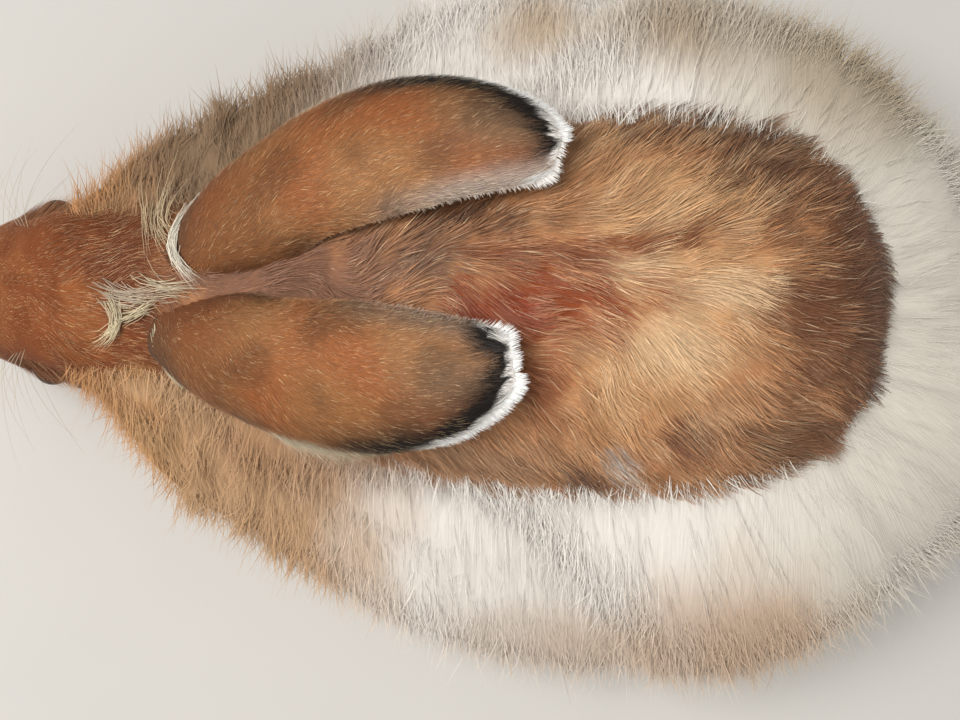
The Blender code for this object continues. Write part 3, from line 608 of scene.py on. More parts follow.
def coat_colour(points, woolly):
    """The colour of the coat at places on the body, where woolly is 1 in the long wool and 0 in the short
    coat. Skin and tufts both read it, so they carry the same markings and the same painted shade."""
    y = points[..., 1]
    head = patched(picked("head", points.shape), points, HEAD_PATCHES)
    # The throat, the lips and the lower cheeks are cream
    throat = ramp(72.0, 48.0, points[..., 2] - 0.35 * (y + 160.0))
    head = mixed(head, "#dcc3a0", 0.85 * throat)
    back = patched(picked("back", points.shape), points, BACK_PATCHES)
    short = mixed(head, back, ramp(-118.0, -96.0, y))
    # Towards the head the wool turns golden on the left and a duller brown on the right
    ragged = y + 6.0 * waves(points, 26.0, 39)
    warm = mixed(linear("#816343"), "#bb9268", ramp(-20.0, 20.0, points[..., 0]))
    # Towards the rear the white wool is painted greyer: painted shade where the light falls off
    grey = mixed(picked("wool", points.shape), "#cdc6b8", ramp(40.0, 150.0, y))
    wool = mixed(grey, warm, 0.95 * ramp(-14.0, -76.0, ragged))
    wool = patched(wool, points, WOOL_PATCHES, 0.12, 30.0, (0.2, 1.6))
    return mixed(short, wool, woolly)


def ear_half(name, share, edge):
    """Half the width of an ear at a share of its length, on the side on which edge lies."""
    bow, half_width = EARS[name][2], EARS[name][5]
    kept = np.where(edge * bow > 0.0, curve(EAR_OUTER, share), curve(EAR_INNER, share))
    kept = np.where(share < EAR_OUTER[0][0], 1.0, np.clip(kept, 0.0, 1.0))
    return half_width * curve(EAR_WIDTHS, share) * kept


def ear_rim(name, share, edge):
    """How far a place on an ear lies inside its rim: square to the side's outline, or to the end."""
    half = ear_half(name, share, edge)
    slope = (ear_half(name, np.maximum(share - 0.02, 0.0), edge) - half) / (0.02 * EAR_LENGTH)
    side = (1.0 - np.abs(edge)) * half / np.sqrt(1.0 + slope**2)
    return np.minimum(side, (1.0 - share) * EAR_LENGTH)


def ear_colour(name, share, edge, hollow):
    """The colour of an ear: mottled orange brown on its back, tan towards the inner rim, grey brown towards
    the tip, with a black band inside a white rim on the outer side and round the tip, and pinkish cream in
    the hollow. edge runs from -1 to 1."""
    left = name == "ear_left"
    outer = edge if left else -edge
    outside = ramp(-0.4, 0.1, outer)
    places = np.stack([share * EAR_LENGTH, edge * 20.0], axis=-1)
    rim = ear_rim(name, share, edge)
    ragged = rim + 0.9 * waves(places, 8.0, 7)
    grey = "#77675a" if left else "#b4a99d"
    inner = ramp(-0.1, -0.5, outer)
    round_end = ramp(0.86, 0.93, share) * (1.0 if left else ramp(-0.75, -0.2, outer))
    round_tip = np.maximum(ramp(0.42, 0.68, share) * outside, round_end)
    white = np.maximum(ramp(0.68, 0.8, share) * outside, ramp(0.9, 0.95, share))
    middle = ramp(0.9, 0.0, np.abs(outer - 0.1))
    base = picked("ear", places.shape)
    for hexed, strength in (
        ("#ad7b50", 0.6 * ramp(0.2, -0.6, outer) * ramp(0.08, 0.3, share)),
        ("#97502a", 0.55 * ramp(-0.3, 1.0, waves(places, 34.0, 5))),
        ("#5f3f27", 0.5 * ramp(0.0, 1.1, waves(places, 24.0, 6))),
        ("#70442a", 0.5 * ramp(0.4, 0.15, share)),
        ("#5a4130", 0.75 * ramp(0.14, 0.04, share) * ramp(-0.4, 0.3, outer)),
        ("#6b5a49", 0.7 * ramp(0.62, 0.9, share) * middle),
        (grey, 0.75 * inner * ramp(0.4, 0.8, share) * ramp(10.0, 2.0, rim)),
        ("#3b2d22", 0.75 * round_tip * ramp(16.0, 6.0, ragged)),
        ("#14100e", 0.95 * round_tip * ramp(9.0, 5.0, ragged)),
        ("#efe8df", 0.95 * white * ramp(2.2, 1.2, ragged)),
    ):
        base = mixed(base, hexed, strength)
    inside = mixed(np.broadcast_to(linear("#c9a58c"), base.shape), "#e8dccb", np.abs(edge) ** 2)
    return mixed(base, inside, hollow)


def ear_at(name, share, edge, off):
    """Points of an ear, off the middle of its sheet, with the directions outward, round the ear and along
    it. The sheet is an arc carried along a parabola from root to tip, most rolled at the root."""
    root, tip, bow, lift, roll, half_width = EARS[name]
    chord, arch = np.array(tip) - np.array(root), np.array([bow, 0.0, lift])
    share, edge = share * EAR_REACH[0], edge * EAR_REACH[1]
    s = share[..., None]
    middle = np.array(root) + chord * s + 4.0 * s * (1.0 - s) * arch
    heading = unit(chord + 4.0 * (1.0 - 2.0 * s) * arch)
    side = unit(np.cross(heading, UP))
    top = np.cross(side, heading)
    cosine, sine = math.cos(math.radians(roll)), math.sin(math.radians(roll))
    side, top = side * cosine - top * sine, top * cosine + side * sine
    full = half_width * curve(EAR_WIDTHS, share)
    spread = np.radians(read(EAR_ROLL, share))
    radius = full / np.sin(np.minimum(spread, np.pi / 2))
    sweep = (spread * edge * ear_half(name, share, edge) / full)[..., None]
    outward = side * np.sin(sweep) + top * np.cos(sweep)
    around = side * np.cos(sweep) - top * np.sin(sweep)
    place = middle + outward * (radius + off)[..., None] - top * (0.6 * radius)[..., None]
    return place, outward, around, heading


def reaches(rows):
    """How far each row's place lies along the path through them all."""
    steps = np.linalg.norm(np.diff(rows[:, :3], axis=0), axis=1)
    return np.concatenate([[0.0], np.cumsum(steps)])


def tube_at(rows, at, turn, inset):
    """Points of a tube with round ends along a smooth path, their outward directions and the path's own.
    Rows hold a place, half a width and half a height, at is the distance along, turn the angle round, and
    inset how far the tube lies inside its rows' sizes."""
    rows = np.asarray(rows, float)
    far = reaches(rows)
    row = eased(far, rows, at)
    ahead = eased(far, rows, np.minimum(at + 0.5, far[-1]))[..., :3]
    behind = eased(far, rows, np.maximum(at - 0.5, 0.0))[..., :3]
    heading = unit(ahead - behind)
    side = unit(np.cross(heading, UP))
    rise = np.cross(side, heading)
    ends = np.clip(np.minimum(at, far[-1] - at) / rows[-1, 3], 0.0, 1.0)
    cap = np.sqrt(1.0 - (1.0 - ends) ** 2)
    wide = ((row[..., 3] - inset) * cap)[..., None]
    tall = ((row[..., 4] - inset) * cap)[..., None]
    cosine, sine = np.cos(turn)[..., None], np.sin(turn)[..., None]
    outward = unit(side * cosine / np.maximum(wide, 0.5) + rise * sine / np.maximum(tall, 0.5))
    forward = (1.0 - ends)[..., None] * heading * np.sign(at - far[-1] / 2)[..., None]
    return row[..., :3] + side * wide * cosine + rise * tall * sine, unit(outward + forward), heading


def limb_rows(path, mirror):
    """A limb's path as rows of numbers, mirrored for the right side."""
    rows = np.array([(*place, wide, tall) for place, wide, tall in path])
    rows[:, 0] *= mirror
    return rows


def toe_rows(path, mirror):
    """Paths of the toes, side by side at the end of a foot."""
    (x, y, z), wide, _ = path[-1]
    made = []
    for k in range(TOE_COUNT):
        place = 2.0 * k / (TOE_COUNT - 1) - 1.0
        across = place * (wide - TOE_HALF_WIDTH)
        reach = TOE_LENGTH * (1.0 - 0.35 * place**2)
        start = (mirror * (x + across), y + 9.0, z, TOE_HALF_WIDTH, 5.0)
        end = (mirror * (x + across * 1.1), y - reach, z - 1.5, TOE_HALF_WIDTH, 4.6)
        made.append(np.array([start, end]))
    return made


def mesh_piece(name, points, faces, colours=None, places=None):
    """A mesh object from points in millimetres and groups of faces with three or four corners, shaded
    smooth. Colours go to its points, and places on the unwrap of the skin to its corners."""
    mesh = bpy.data.meshes.new(name)
    corners = np.concatenate([group.ravel() for group in faces]).astype(np.int32)
    sizes = np.concatenate([np.full(len(group), group.shape[1]) for group in faces])
    mesh.vertices.add(len(points))
    mesh.vertices.foreach_set("co", (np.asarray(points) * MM).astype(np.float32).ravel())
    mesh.loops.add(len(corners))
    mesh.loops.foreach_set("vertex_index", corners)
    mesh.polygons.add(len(sizes))
    mesh.polygons.foreach_set("loop_start", np.concatenate([[0], np.cumsum(sizes)[:-1]]).astype(np.int32))
    mesh.update(calc_edges=True)
    if colours is not None:
        paint = mesh.color_attributes.new("Coat", "FLOAT_COLOR", "POINT")
        alpha = np.ones((len(points), 1))
        paint.data.foreach_set("color", np.hstack([colours, alpha]).astype(np.float32).ravel())
    if places is not None:
        unwrap = mesh.uv_layers.new(name="OFBake")
        unwrap.data.foreach_set("uv", places[corners].astype(np.float32).ravel())
    mesh.shade_smooth()
    made = bpy.data.objects.new(name, mesh)
    bpy.context.scene.collection.objects.link(made)
    return made


def ring_faces(rings, sides):
    """Faces of a closed tube of rings, whose ends meet in two single points that come after the rings."""
    ring, side = np.meshgrid(np.arange(rings - 1), np.arange(sides), indexing="ij")
    a = (ring * sides + side).ravel()
    b = (ring * sides + (side + 1) % sides).ravel()
    walls = np.stack([a, a + sides, b + sides, b], axis=1)
    k = np.arange(sides)
    n = (k + 1) % sides
    last = (rings - 1) * sides
    start = np.stack([k, n, np.full(sides, rings * sides)], axis=1)
    end = np.stack([last + n, last + k, np.full(sides, rings * sides + 1)], axis=1)
    return [walls, np.concatenate([start, end])]


def repeated(groups, count, each):
    """Groups of faces, once for each of several shapes that have the same number of points."""
    shift = (np.arange(count) * each)[:, None, None]
    return [(group[None] + shift).reshape(-1, group.shape[1]) for group in groups]


def middles(rings):
    """The middle points of the first and the last ring."""
    return rings[0].mean(axis=0), rings[-1].mean(axis=0)


def closed_tube(name, rings, start, end, colours=None):
    """A closed mesh from a grid of rings, with a single point at each end."""
    count, sides = rings.shape[:2]
    points = np.concatenate([rings.reshape(-1, 3), [start, end]])
    if colours is not None:
        flat = colours.reshape(-1, 3)
        colours = np.concatenate([flat, [flat[0], flat[-1]]])
    made = mesh_piece(name, points, ring_faces(count, sides), colours)
    outward_faces(made.data)
    return made


def outward_faces(mesh):
    """Turns the faces of a closed mesh round if the space that they enclose comes out negative."""
    count = len(mesh.polygons)
    middle, way, area = np.zeros(count * 3), np.zeros(count * 3), np.zeros(count)
    mesh.polygons.foreach_get("center", middle)
    mesh.polygons.foreach_get("normal", way)
    mesh.polygons.foreach_get("area", area)
    if np.sum(np.sum(middle.reshape(-1, 3) * way.reshape(-1, 3), axis=1) * area) < 0.0:
        mesh.flip_normals()


def tuft_mesh(name, course, half, flat, tints, roots, soft=0.75):
    """Closed, tapered tufts as one mesh. course holds each tuft's middle line to its tip, half its half
    widths, flat the direction that its broad side faces, tints its colours along it and roots its place on
    the unwrap. A section is a low triangle: two corners at the sides and a ridge between them. soft is how
    far its shading follows flat instead of its own sides, so that many tufts shade as one soft coat."""
    count, places = course.shape[:2]
    rings = places - 1
    heading = unit(np.gradient(course, axis=1))[:, :-1]
    across = unit(np.cross(heading, flat[:, None]))
    ridge = np.cross(across, heading) * (half * RIDGE)[..., None]
    wide = across * half[..., None]
    middle = course[:, :-1]
    sections = np.stack([middle + wide - 0.5 * ridge, middle + ridge, middle - wide - 0.5 * ridge], axis=2)
    points = np.concatenate([sections.reshape(count, rings * 3, 3), course[:, -1:]], axis=1)
    each = rings * 3 + 1
    a = np.arange((rings - 1) * 3)
    b = (a // 3) * 3 + (a + 1) % 3
    walls = np.stack([a, a + 3, b + 3, b], axis=1)
    last = (rings - 1) * 3
    tip = last + 3
    ends = np.array([[0, 1, 2], [last, tip, last + 1], [last + 1, tip, last + 2], [last + 2, tip, last]])
    faces = repeated((walls, ends), count, each)
    colours = np.concatenate([np.repeat(tints[:, :-1], 3, axis=1), tints[:, -1:]], axis=1)
    run = np.linspace(-0.5, 0.5, places)
    spread = np.concatenate([np.tile([0.5, 0.0, -0.5], rings), [0.0]])
    rise = np.concatenate([np.repeat(run[:-1], 3), run[-1:]])
    patch = roots[:, None] + PATCH * np.stack([spread, rise], axis=-1)[None]
    made = mesh_piece(name, points.reshape(-1, 3), faces, colours.reshape(-1, 3), patch.reshape(-1, 2))
    broad = np.broadcast_to(flat[:, None], across.shape)
    own = across * (1.0 - soft)
    normals = np.stack([own + broad * soft, broad, broad * soft - own], axis=2)
    normals = np.concatenate([normals.reshape(count, rings * 3, 3), flat[:, None]], axis=1)
    made.data.normals_split_custom_set_from_vertices(unit(normals).reshape(-1, 3))
    return made


def outlined(shares, half):
    """Half widths along tufts, from their widest."""
    return np.outer(half, read(TUFT_OUTLINE, np.array(shares[:-1])))


def combed(points, outward, flow, length, lift, shares):
    """Courses of short tufts that leave the skin at a slope and lie down along it: distance along the flow
    grows evenly, and the height over the skin is a parabola that flattens towards the tip."""
    share = np.array(shares)
    along = flow[:, None] * (length[:, None] * share)[..., None]
    rise = (lift * length)[:, None] * (share - 0.42 * share**2)
    height = rise - ROOT_DEPTH * (1.0 - share)
    return points[:, None] + along + outward[:, None] * height[..., None]


def scattered(count, weight, seed, surface=flesh, crowd=6):
    """Places along and round the body, spread evenly over a surface with a little jitter and kept with a
    chance that follows the surface's area and the weight. Gives the places, their points and outward
    directions, and the direction along the body."""
    rng = np.random.default_rng(seed)
    tries = count * crowd
    jitter = rng.uniform(-0.5, 0.5, (2, tries)) / math.sqrt(tries)
    along, angle = spread_evenly(tries, jitter)
    along = np.clip(BODY_LENGTH * along, END_MARGIN, BODY_LENGTH - END_MARGIN)
    angle = 2.0 * np.pi * angle
    down_body, round_body = slopes(along, angle, surface)
    normal = np.cross(down_body, round_body)
    points, outward = surface(along, angle), unit(normal)
    if surface is flesh:
        points = faced(points, outward)
    chance = np.linalg.norm(normal, axis=1) * weight(points, outward)
    chance *= count / chance.sum()
    keep = some(rng, chance, tries)
    return along[keep], angle[keep], points[keep], outward[keep], unit(down_body[keep])


def unwrap_place(along, angle):
    """A place on the unwrap of the body's skin: along it one way and round it the other."""
    return np.stack([along / BODY_LENGTH, np.mod(angle, 2.0 * np.pi) / (2.0 * np.pi)], axis=-1)


def laid(flow, outward):
    """A direction laid into the skin."""
    return unit(flow - outward * np.sum(flow * outward, axis=-1, keepdims=True))


def varied(colour, rng, amount, most=0.95):
    """The colours of tufts, each a little lighter or darker than its neighbours, and none above most."""
    return np.clip(colour * np.exp(rng.normal(0.0, amount, len(colour)))[:, None, None], 0.0, most)


def tipped(tints, chosen, hexed, shares):
    """Blends a colour into the chosen tufts, by a share at each place along them."""
    tints[chosen] = mixed(tints[chosen], hexed, np.tile(shares, (chosen.sum(), 1)))


def part_of(tufts, chosen, step=1):
    """The chosen ones of many tufts, given as courses, half widths, flat directions, colours and places on
    the unwrap. With a step of two their middle sections are left out."""
    course, half, flat, tints, places = tufts
    return course[chosen, ::step], half[chosen, ::step], flat[chosen], tints[chosen, ::step], places[chosen]


def add_node(tree, kind, settings=None, links=None):
    """Adds a node, sets its values and sockets and links its inputs."""
    node = tree.nodes.new(kind)
    for key, value in (settings or {}).items():
        if hasattr(node, key):
            setattr(node, key, value)
        else:
            node.inputs[key].default_value = value
    for key, (source, output) in (links or {}).items():
        tree.links.new(source.outputs[output], node.inputs[key])
    return node


def shader_material(name, settings):
    """A material with its Principled shader set up."""
    material = bpy.data.materials.new(name)
    material.use_nodes = True
    shader = material.node_tree.nodes["Principled BSDF"]
    for key, value in settings.items():
        shader.inputs[key].default_value = value
    return material, material.node_tree, shader


def shade_by_noise(tree, shader, places, noise, span, bump=None):
    """Lightens and darkens the painted coat between the two factors of span, by noise that is drawn at
    the places that a node's output gives. With bump, a strength and a depth in metres, the same noise raises
    the surface."""
    paint = add_node(tree, "ShaderNodeAttribute", {"attribute_name": "Coat"})
    fleck = add_node(tree, "ShaderNodeTexNoise", noise, {"Vector": places})
    factors = {"To Min": span[0], "To Max": span[1]}
    level = add_node(tree, "ShaderNodeMapRange", factors, {"Value": (fleck, "Fac")})
    sources = {"Vector": (paint, "Color"), "Scale": (level, "Result")}
    shade = add_node(tree, "ShaderNodeVectorMath", {"operation": "SCALE"}, sources)
    tree.links.new(shade.outputs["Vector"], shader.inputs["Base Color"])
    if bump:
        relief = {"Strength": bump[0], "Distance": bump[1]}
        raised = add_node(tree, "ShaderNodeBump", relief, {"Height": (fleck, "Fac")})
        tree.links.new(raised.outputs["Normal"], shader.inputs["Normal"])


def hair_material(name, roughness, sheen):
    """Keratin fibre: dull and soft, with a faint sheen where light grazes it. IOR of hair is 1.55, and loose
    fibres scatter light, so roughness is high. Fine noise at 1.5 mm breaks each tuft into lighter and darker
    hairs, coarser than real hairs of 0.02 mm so that they show."""
    settings = {"Roughness": roughness, "IOR": 1.55, "Specular IOR Level": 0.28, "Sheen Weight": sheen}
    settings["Sheen Roughness"] = 0.5
    material, tree, shader = shader_material(name, settings)
    where = add_node(tree, "ShaderNodeTexCoord")
    shade_by_noise(tree, shader, (where, "Object"), {"Scale": 650.0, "Detail": 2.0}, (0.78, 1.22))
    return material


def wool_material():
    """Dense wool under the loose strands: the same fibre, drawn as fine hairs by noise that is 0.7 mm across
    the strands and 10 mm along them, in colour and in bump of 0.8 mm."""
    settings = {"Roughness": 0.8, "IOR": 1.55, "Specular IOR Level": 0.15, "Sheen Weight": 0.2}
    material, tree, shader = shader_material("angora_under_wool", settings)
    lie = add_node(tree, "ShaderNodeAttribute", {"attribute_name": "Strands"})
    drawn = add_node(tree, "ShaderNodeMapping", {"Scale": (1.0, 0.07, 1.0)}, {"Vector": (lie, "Vector")})
    noise = {"Scale": 1.5, "Detail": 4.0}
    shade_by_noise(tree, shader, (drawn, "Vector"), noise, (0.76, 1.16), (0.6, 0.0008))
    return material


def skin_material():
    """Skin under fur: the coat's colour laid over it as a dense nap, matt, with hairs as bump. Noise
    stretched along the body at 0.8 mm across draws the nap."""
    settings = {"Roughness": 0.85, "IOR": 1.4, "Specular IOR Level": 0.15, "Sheen Weight": 0.03}
    material, tree, shader = shader_material("rabbit_skin_nap", settings)
    where = add_node(tree, "ShaderNodeTexCoord")
    drawn = add_node(tree, "ShaderNodeMapping", {"Scale": (1.0, 0.25, 1.0)}, {"Vector": (where, "Object")})
    noise = {"Scale": 1250.0, "Detail": 3.0}
    shade_by_noise(tree, shader, (drawn, "Vector"), noise, (0.65, 1.0), (0.5, 0.0006))
    return material


def eye_material():
    """Wet cornea over a dark brown iris: a thin clear coat, with the IOR of tears and nearly no roughness,
    over dull colour. The attribute Ring is the angle from the eye's axis as a share of half a turn, and from
    it come the black pupil, the iris and the dark rim."""
    settings = {"Roughness": 0.35, "IOR": 1.376, "Specular IOR Level": 0.0}
    settings.update({"Coat Weight": 0.6, "Coat Roughness": 0.02, "Coat IOR": 1.34})
    material, tree, shader = shader_material("rabbit_wet_eye", settings)
    ring = add_node(tree, "ShaderNodeAttribute", {"attribute_name": "Ring"})
    ramped = add_node(tree, "ShaderNodeValToRGB", {}, {"Fac": (ring, "Fac")})
    iris = tuple(bpy.context.scene.rabbit_colours.iris)
    stops = ((0.0, "#020202"), (0.13, "#030202"), (0.16, None), (0.29, None), (0.35, "#0a0605"))
    elements = ramped.color_ramp.elements
    while len(elements) < len(stops):
        elements.new(0.5)
    for element, (place, hexed) in zip(elements, stops):
        element.position = place
        element.color = (*(iris if hexed is None else linear(hexed)), 1.0)
    tree.links.new(ramped.outputs["Color"], shader.inputs["Base Color"])
    return material


def clouded_material(name, settings, scale, colour, dark, light):
    """A material whose colour wanders by noise between a darker and a lighter shade of one colour."""
    material, tree, shader = shader_material(name, settings)
    where = add_node(tree, "ShaderNodeTexCoord")
    cloud = add_node(tree, "ShaderNodeTexNoise", {"Scale": scale}, {"Vector": (where, "Object")})
    ramped = add_node(tree, "ShaderNodeValToRGB", {}, {"Fac": (cloud, "Fac")})
    for element, factor in zip(ramped.color_ramp.elements, (dark, light)):
        element.color = (*np.minimum(np.array(colour) * factor, 1.0), 1.0)
    tree.links.new(ramped.outputs["Color"], shader.inputs["Base Color"])
    return material


def horn_material():
    """Claw horn: dark keratin, smooth and half glossy, IOR 1.55, lighter in streaks of 1 mm."""
    colour = bpy.context.scene.rabbit_colours.claw
    return clouded_material("claw_horn", {"Roughness": 0.38, "IOR": 1.55}, 900.0, colour, 0.5, 1.7)


def paper_material():
    """Matt backdrop paper: rough, with a faint unevenness a few centimetres wide."""
    settings = {"Roughness": 0.9, "Specular IOR Level": 0.1}
    colour = bpy.context.scene.rabbit_colours.floor
    return clouded_material("backdrop_paper", settings, 12.0, colour, 0.97, 1.02)


def dress(piece, material, slot, *nodes):
    """Gives a piece its material and its body, and hides the solids that it stands for. The slot is not used.
    """
    piece.data.materials.append(material)
    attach(piece, "root")
    if nodes:
        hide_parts(*nodes)


def body_skin():
    """The body from nose to rump: rings stand closest at the nose and the face, where the folds are."""
    rings, sides = 250, 256
    share = np.linspace(0.0, 1.0, rings + 2)[1:-1]
    along = BODY_LENGTH * (0.12 * share**0.5 * share + 0.30 * share + 0.58 * share**3.4)
    along = np.clip(along, 0.05, BODY_LENGTH - 0.1)
    along, angle = np.meshgrid(along, turns(sides), indexing="ij")
    points, outward = skin_at(along, angle)
    points, outward = points.reshape(-1, 3), outward.reshape(-1, 3)
    moved = folded(points, outward)
    colours = coat_colour(points, wool_share(points, outward))
    # Bare, dark rims line the eyes and the nostrils
    for mirror in (1.0, -1.0):
        rim = 1.0 - ramp(1.1, 1.35, opening(points, mirror))
        colours = mixed(colours, "#2c1a14", rim)
    place = moved.reshape(rings, sides, 3)
    tip = NOSE + unit(NOSE - POLL) * 0.1
    tail = place[-1].mean(axis=0) + [0.0, 0.3, 0.0]
    return closed_tube("skin_body", place, tip, tail, colours.reshape(rings, sides, 3))


def ear_skin(name):
    """An ear as a closed tube with a flat section: once round it passes over the back and the hollow."""
    share = 1.0 - (1.0 - np.linspace(0.0, 1.0, 72)) ** 1.25
    share, turn = np.meshgrid(share, turns(72), indexing="ij")
    edge, over = np.cos(turn), np.sin(turn)
    place = ear_at(name, share, edge, EAR_SKIN * over)[0]
    colours = ear_colour(name, share, edge, ramp(0.05, -0.05, over))
    return closed_tube(name + "_skin", place, *middles(place), colours)


def tube_skin(name, rows, rings=28, sides=28, inset=LIMB_COAT):
    """A limb or a toe as a closed tube in the colour of the feet."""
    length = reaches(rows)[-1]
    at = length * (1.0 - np.cos(np.linspace(0.06, np.pi - 0.06, rings))) / 2.0
    at, turn = np.meshgrid(at, turns(sides), indexing="ij")
    place = tube_at(rows, at, turn, inset)[0]
    place[..., 2] = np.maximum(place[..., 2], SOLE_CLEAR)
    return closed_tube(name, place, *middles(place), 0.9 * picked("foot", place.shape))


def lid_skin(mirror):
    """The lids as one smooth rim round the eye, thinner at its corners."""
    centre, outward, ahead, rise = eye_place(mirror)
    out = math.sqrt(EYE_RADIUS**2 - LID_RADIUS**2)
    steps, sides = 72, 16
    turn = turns(steps)[:, None]
    spoke = ahead * np.cos(turn) + rise * np.sin(turn) * LID_FLATTEN
    ring = centre + outward * (out - 0.2) + spoke * (LID_RADIUS + 0.7) - outward * 0.8 * np.cos(turn) ** 2
    around = turns(sides)[None, :, None]
    thick = (1.25 - 0.3 * np.cos(turn) ** 2)[:, None]
    points = ring[:, None] + thick * (unit(spoke)[:, None] * np.cos(around) + outward * np.sin(around))
    k, j = np.meshgrid(np.arange(steps), np.arange(sides), indexing="ij")
    here, there = k * sides, (k + 1) % steps * sides
    after = (j + 1) % sides
    faces = [np.stack([here + j, there + j, there + after, here + after], axis=-1).reshape(-1, 4)]
    colours = np.broadcast_to(linear("#3a2419"), (steps * sides, 3))
    made = mesh_piece("lid_skin", points.reshape(-1, 3), faces, colours)
    outward_faces(made.data)
    return made


def mend_colours(mesh):
    """Gives points that the union made, which come out white, the mean colour of their painted neighbours."""
    paint = mesh.color_attributes["Coat"]
    colours = np.zeros(len(paint.data) * 4)
    paint.data.foreach_get("color", colours)
    colours = colours.reshape(-1, 4)
    edges = np.zeros(len(mesh.edges) * 2, dtype=np.int64)
    mesh.edges.foreach_get("vertices", edges)
    edges = np.concatenate([edges.reshape(-1, 2), edges.reshape(-1, 2)[:, ::-1]])
    bare = colours[:, :3].min(axis=1) > 0.999
    for _ in range(4):
        sure = edges[~bare[edges[:, 1]] & bare[edges[:, 0]]]
        total, number = np.zeros_like(colours), np.zeros(len(colours))
        np.add.at(total, sure[:, 0], colours[sure[:, 1]])
        np.add.at(number, sure[:, 0], 1.0)
        found = number > 0.0
        colours[found] = total[found] / number[found][:, None]
        bare &= ~found
    paint.data.foreach_set("color", colours.astype(np.float32).ravel())


def joined(base, others):
    """One closed skin from several, by a union that is applied. It keeps their colours."""
    together = bpy.data.collections.new("skins")
    bpy.context.scene.collection.children.link(together)
    for other in others:
        bpy.context.scene.collection.objects.unlink(other)
        together.objects.link(other)
    union = base.modifiers.new("join", "BOOLEAN")
    union.operation = "UNION"
    union.solver = "MANIFOLD"
    union.operand_type = "COLLECTION"
    union.collection = together
    graph = bpy.context.evaluated_depsgraph_get()
    whole = bpy.data.meshes.new_from_object(base.evaluated_get(graph))
    base.modifiers.clear()
    whole.materials.clear()
    mend_colours(whole)
    base.data = whole
    for other in others:
        bpy.data.objects.remove(other)
    bpy.data.collections.remove(together)
    whole.shade_smooth()
    return base


class RABBIT_OT_skin(bpy.types.Operator):
    """Makes one skin for the head, trunk, ears and limbs"""

    bl_idname = "rabbit.skin"
    bl_label = "Skin"

    def execute(self, context):
        parts = [ear_skin(name) for name in EARS] + [lid_skin(1.0), lid_skin(-1.0)]
        for mirror in (1.0, -1.0):
            for path in (FORELEG_PATH, HIND_FOOT_PATH):
                parts.append(tube_skin("limb_skin", limb_rows(path, mirror)))
                for rows in toe_rows(path, mirror):
                    parts.append(tube_skin("toe_skin", rows, 12, 16, TOE_COAT))
        skin = joined(body_skin(), parts)
        skin.name = "skin"
        flesh_nodes = [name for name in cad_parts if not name.startswith("eye_")]
        dress(skin, skin_material(), "head_fur", *flesh_nodes)
        return {"FINISHED"}


class RABBIT_OT_eyes(bpy.types.Operator):
    """Makes both eyeballs, with a bulging cornea"""

    bl_idname = "rabbit.eyes"
    bl_label = "Eyes"

    def execute(self, context):
        material = eye_material()
        for name, mirror in (("left", 1.0), ("right", -1.0)):
            eye = eyeball(f"eyeball_{name}", mirror)
            dress(eye, material, f"eye_{name}", f"eye_{name}")
        return {"FINISHED"}


def eyeball(name, mirror):
    """A ball round the eye's axis, whose radius swells by a bell curve of the angle for the cornea."""
    centre, outward, ahead, rise = eye_place(mirror)
    polar = np.linspace(0.0, np.pi, 50)[1:-1, None]
    sides = 64
    turn = turns(sides)[None]
    radius = EYE_RADIUS - 0.35 + 0.5 * np.exp(-((polar / 0.7) ** 2))
    spoke = ahead * np.cos(turn)[..., None] + rise * np.sin(turn)[..., None]
    way = outward * np.cos(polar)[..., None] + spoke * np.sin(polar)[..., None]
    rings = centre + way * radius[..., None]
    ends = (centre + outward * (EYE_RADIUS + 0.15), centre - outward * (EYE_RADIUS - 0.35))
    made = closed_tube(name, rings, *ends)
    ring = made.data.attributes.new("Ring", "FLOAT", "POINT")
    values = np.concatenate([np.repeat(polar[:, 0], sides), [0.0, np.pi]]) / np.pi
    ring.data.foreach_set("value", values.astype(np.float32))
    return made


def strand_tubes(name, courses, radius, sides, hexed=None):
    """Closed round tubes, one for each course, with the given radii along them. They end in points."""
    course = np.array(courses)
    count, places = course.shape[:2]
    heading = unit(np.gradient(course, axis=1))
    side = unit(np.cross(heading, UP + [0.01, 0.02, 0.0]))
    rise = np.cross(side, heading)
    turn = turns(sides)[:, None]
    ring = side[:, :, None] * np.cos(turn) + rise[:, :, None] * np.sin(turn)
    rings = course[:, :, None] + ring * radius[:, None, None]
    ends = (course[:, :1] - heading[:, :1] * 0.1, course[:, -1:] + heading[:, -1:] * 0.1)
    points = np.concatenate([rings.reshape(count, -1, 3), *ends], axis=1).reshape(-1, 3)
    faces = repeated(ring_faces(places, sides), count, places * sides + 2)
    made = mesh_piece(name, points, faces, np.tile(linear(hexed), (len(points), 1)) if hexed else None)
    outward_faces(made.data)
    return made


class RABBIT_OT_claws(bpy.types.Operator):
    """Makes a curved claw at the end of each toe"""

    bl_idname = "rabbit.claws"
    bl_label = "Claws"

    def execute(self, context):
        share = np.linspace(0.0, 1.0, 9)
        bend = np.stack([np.zeros(9), -8.0 * share, 1.6 * share - 4.4 * share**2], axis=1)
        courses = []
        for mirror in (1.0, -1.0):
            for path in (FORELEG_PATH, HIND_FOOT_PATH):
                for rows in toe_rows(path, mirror):
                    courses.append(rows[1, :3] + [0.0, 2.6, 0.6] + bend)
        claws = strand_tubes("claws", courses, 1.25 * (1.0 - share**1.6) + 0.12, 10)
        dress(claws, horn_material(), "foreleg_left_fur")
        return {"FINISHED"}


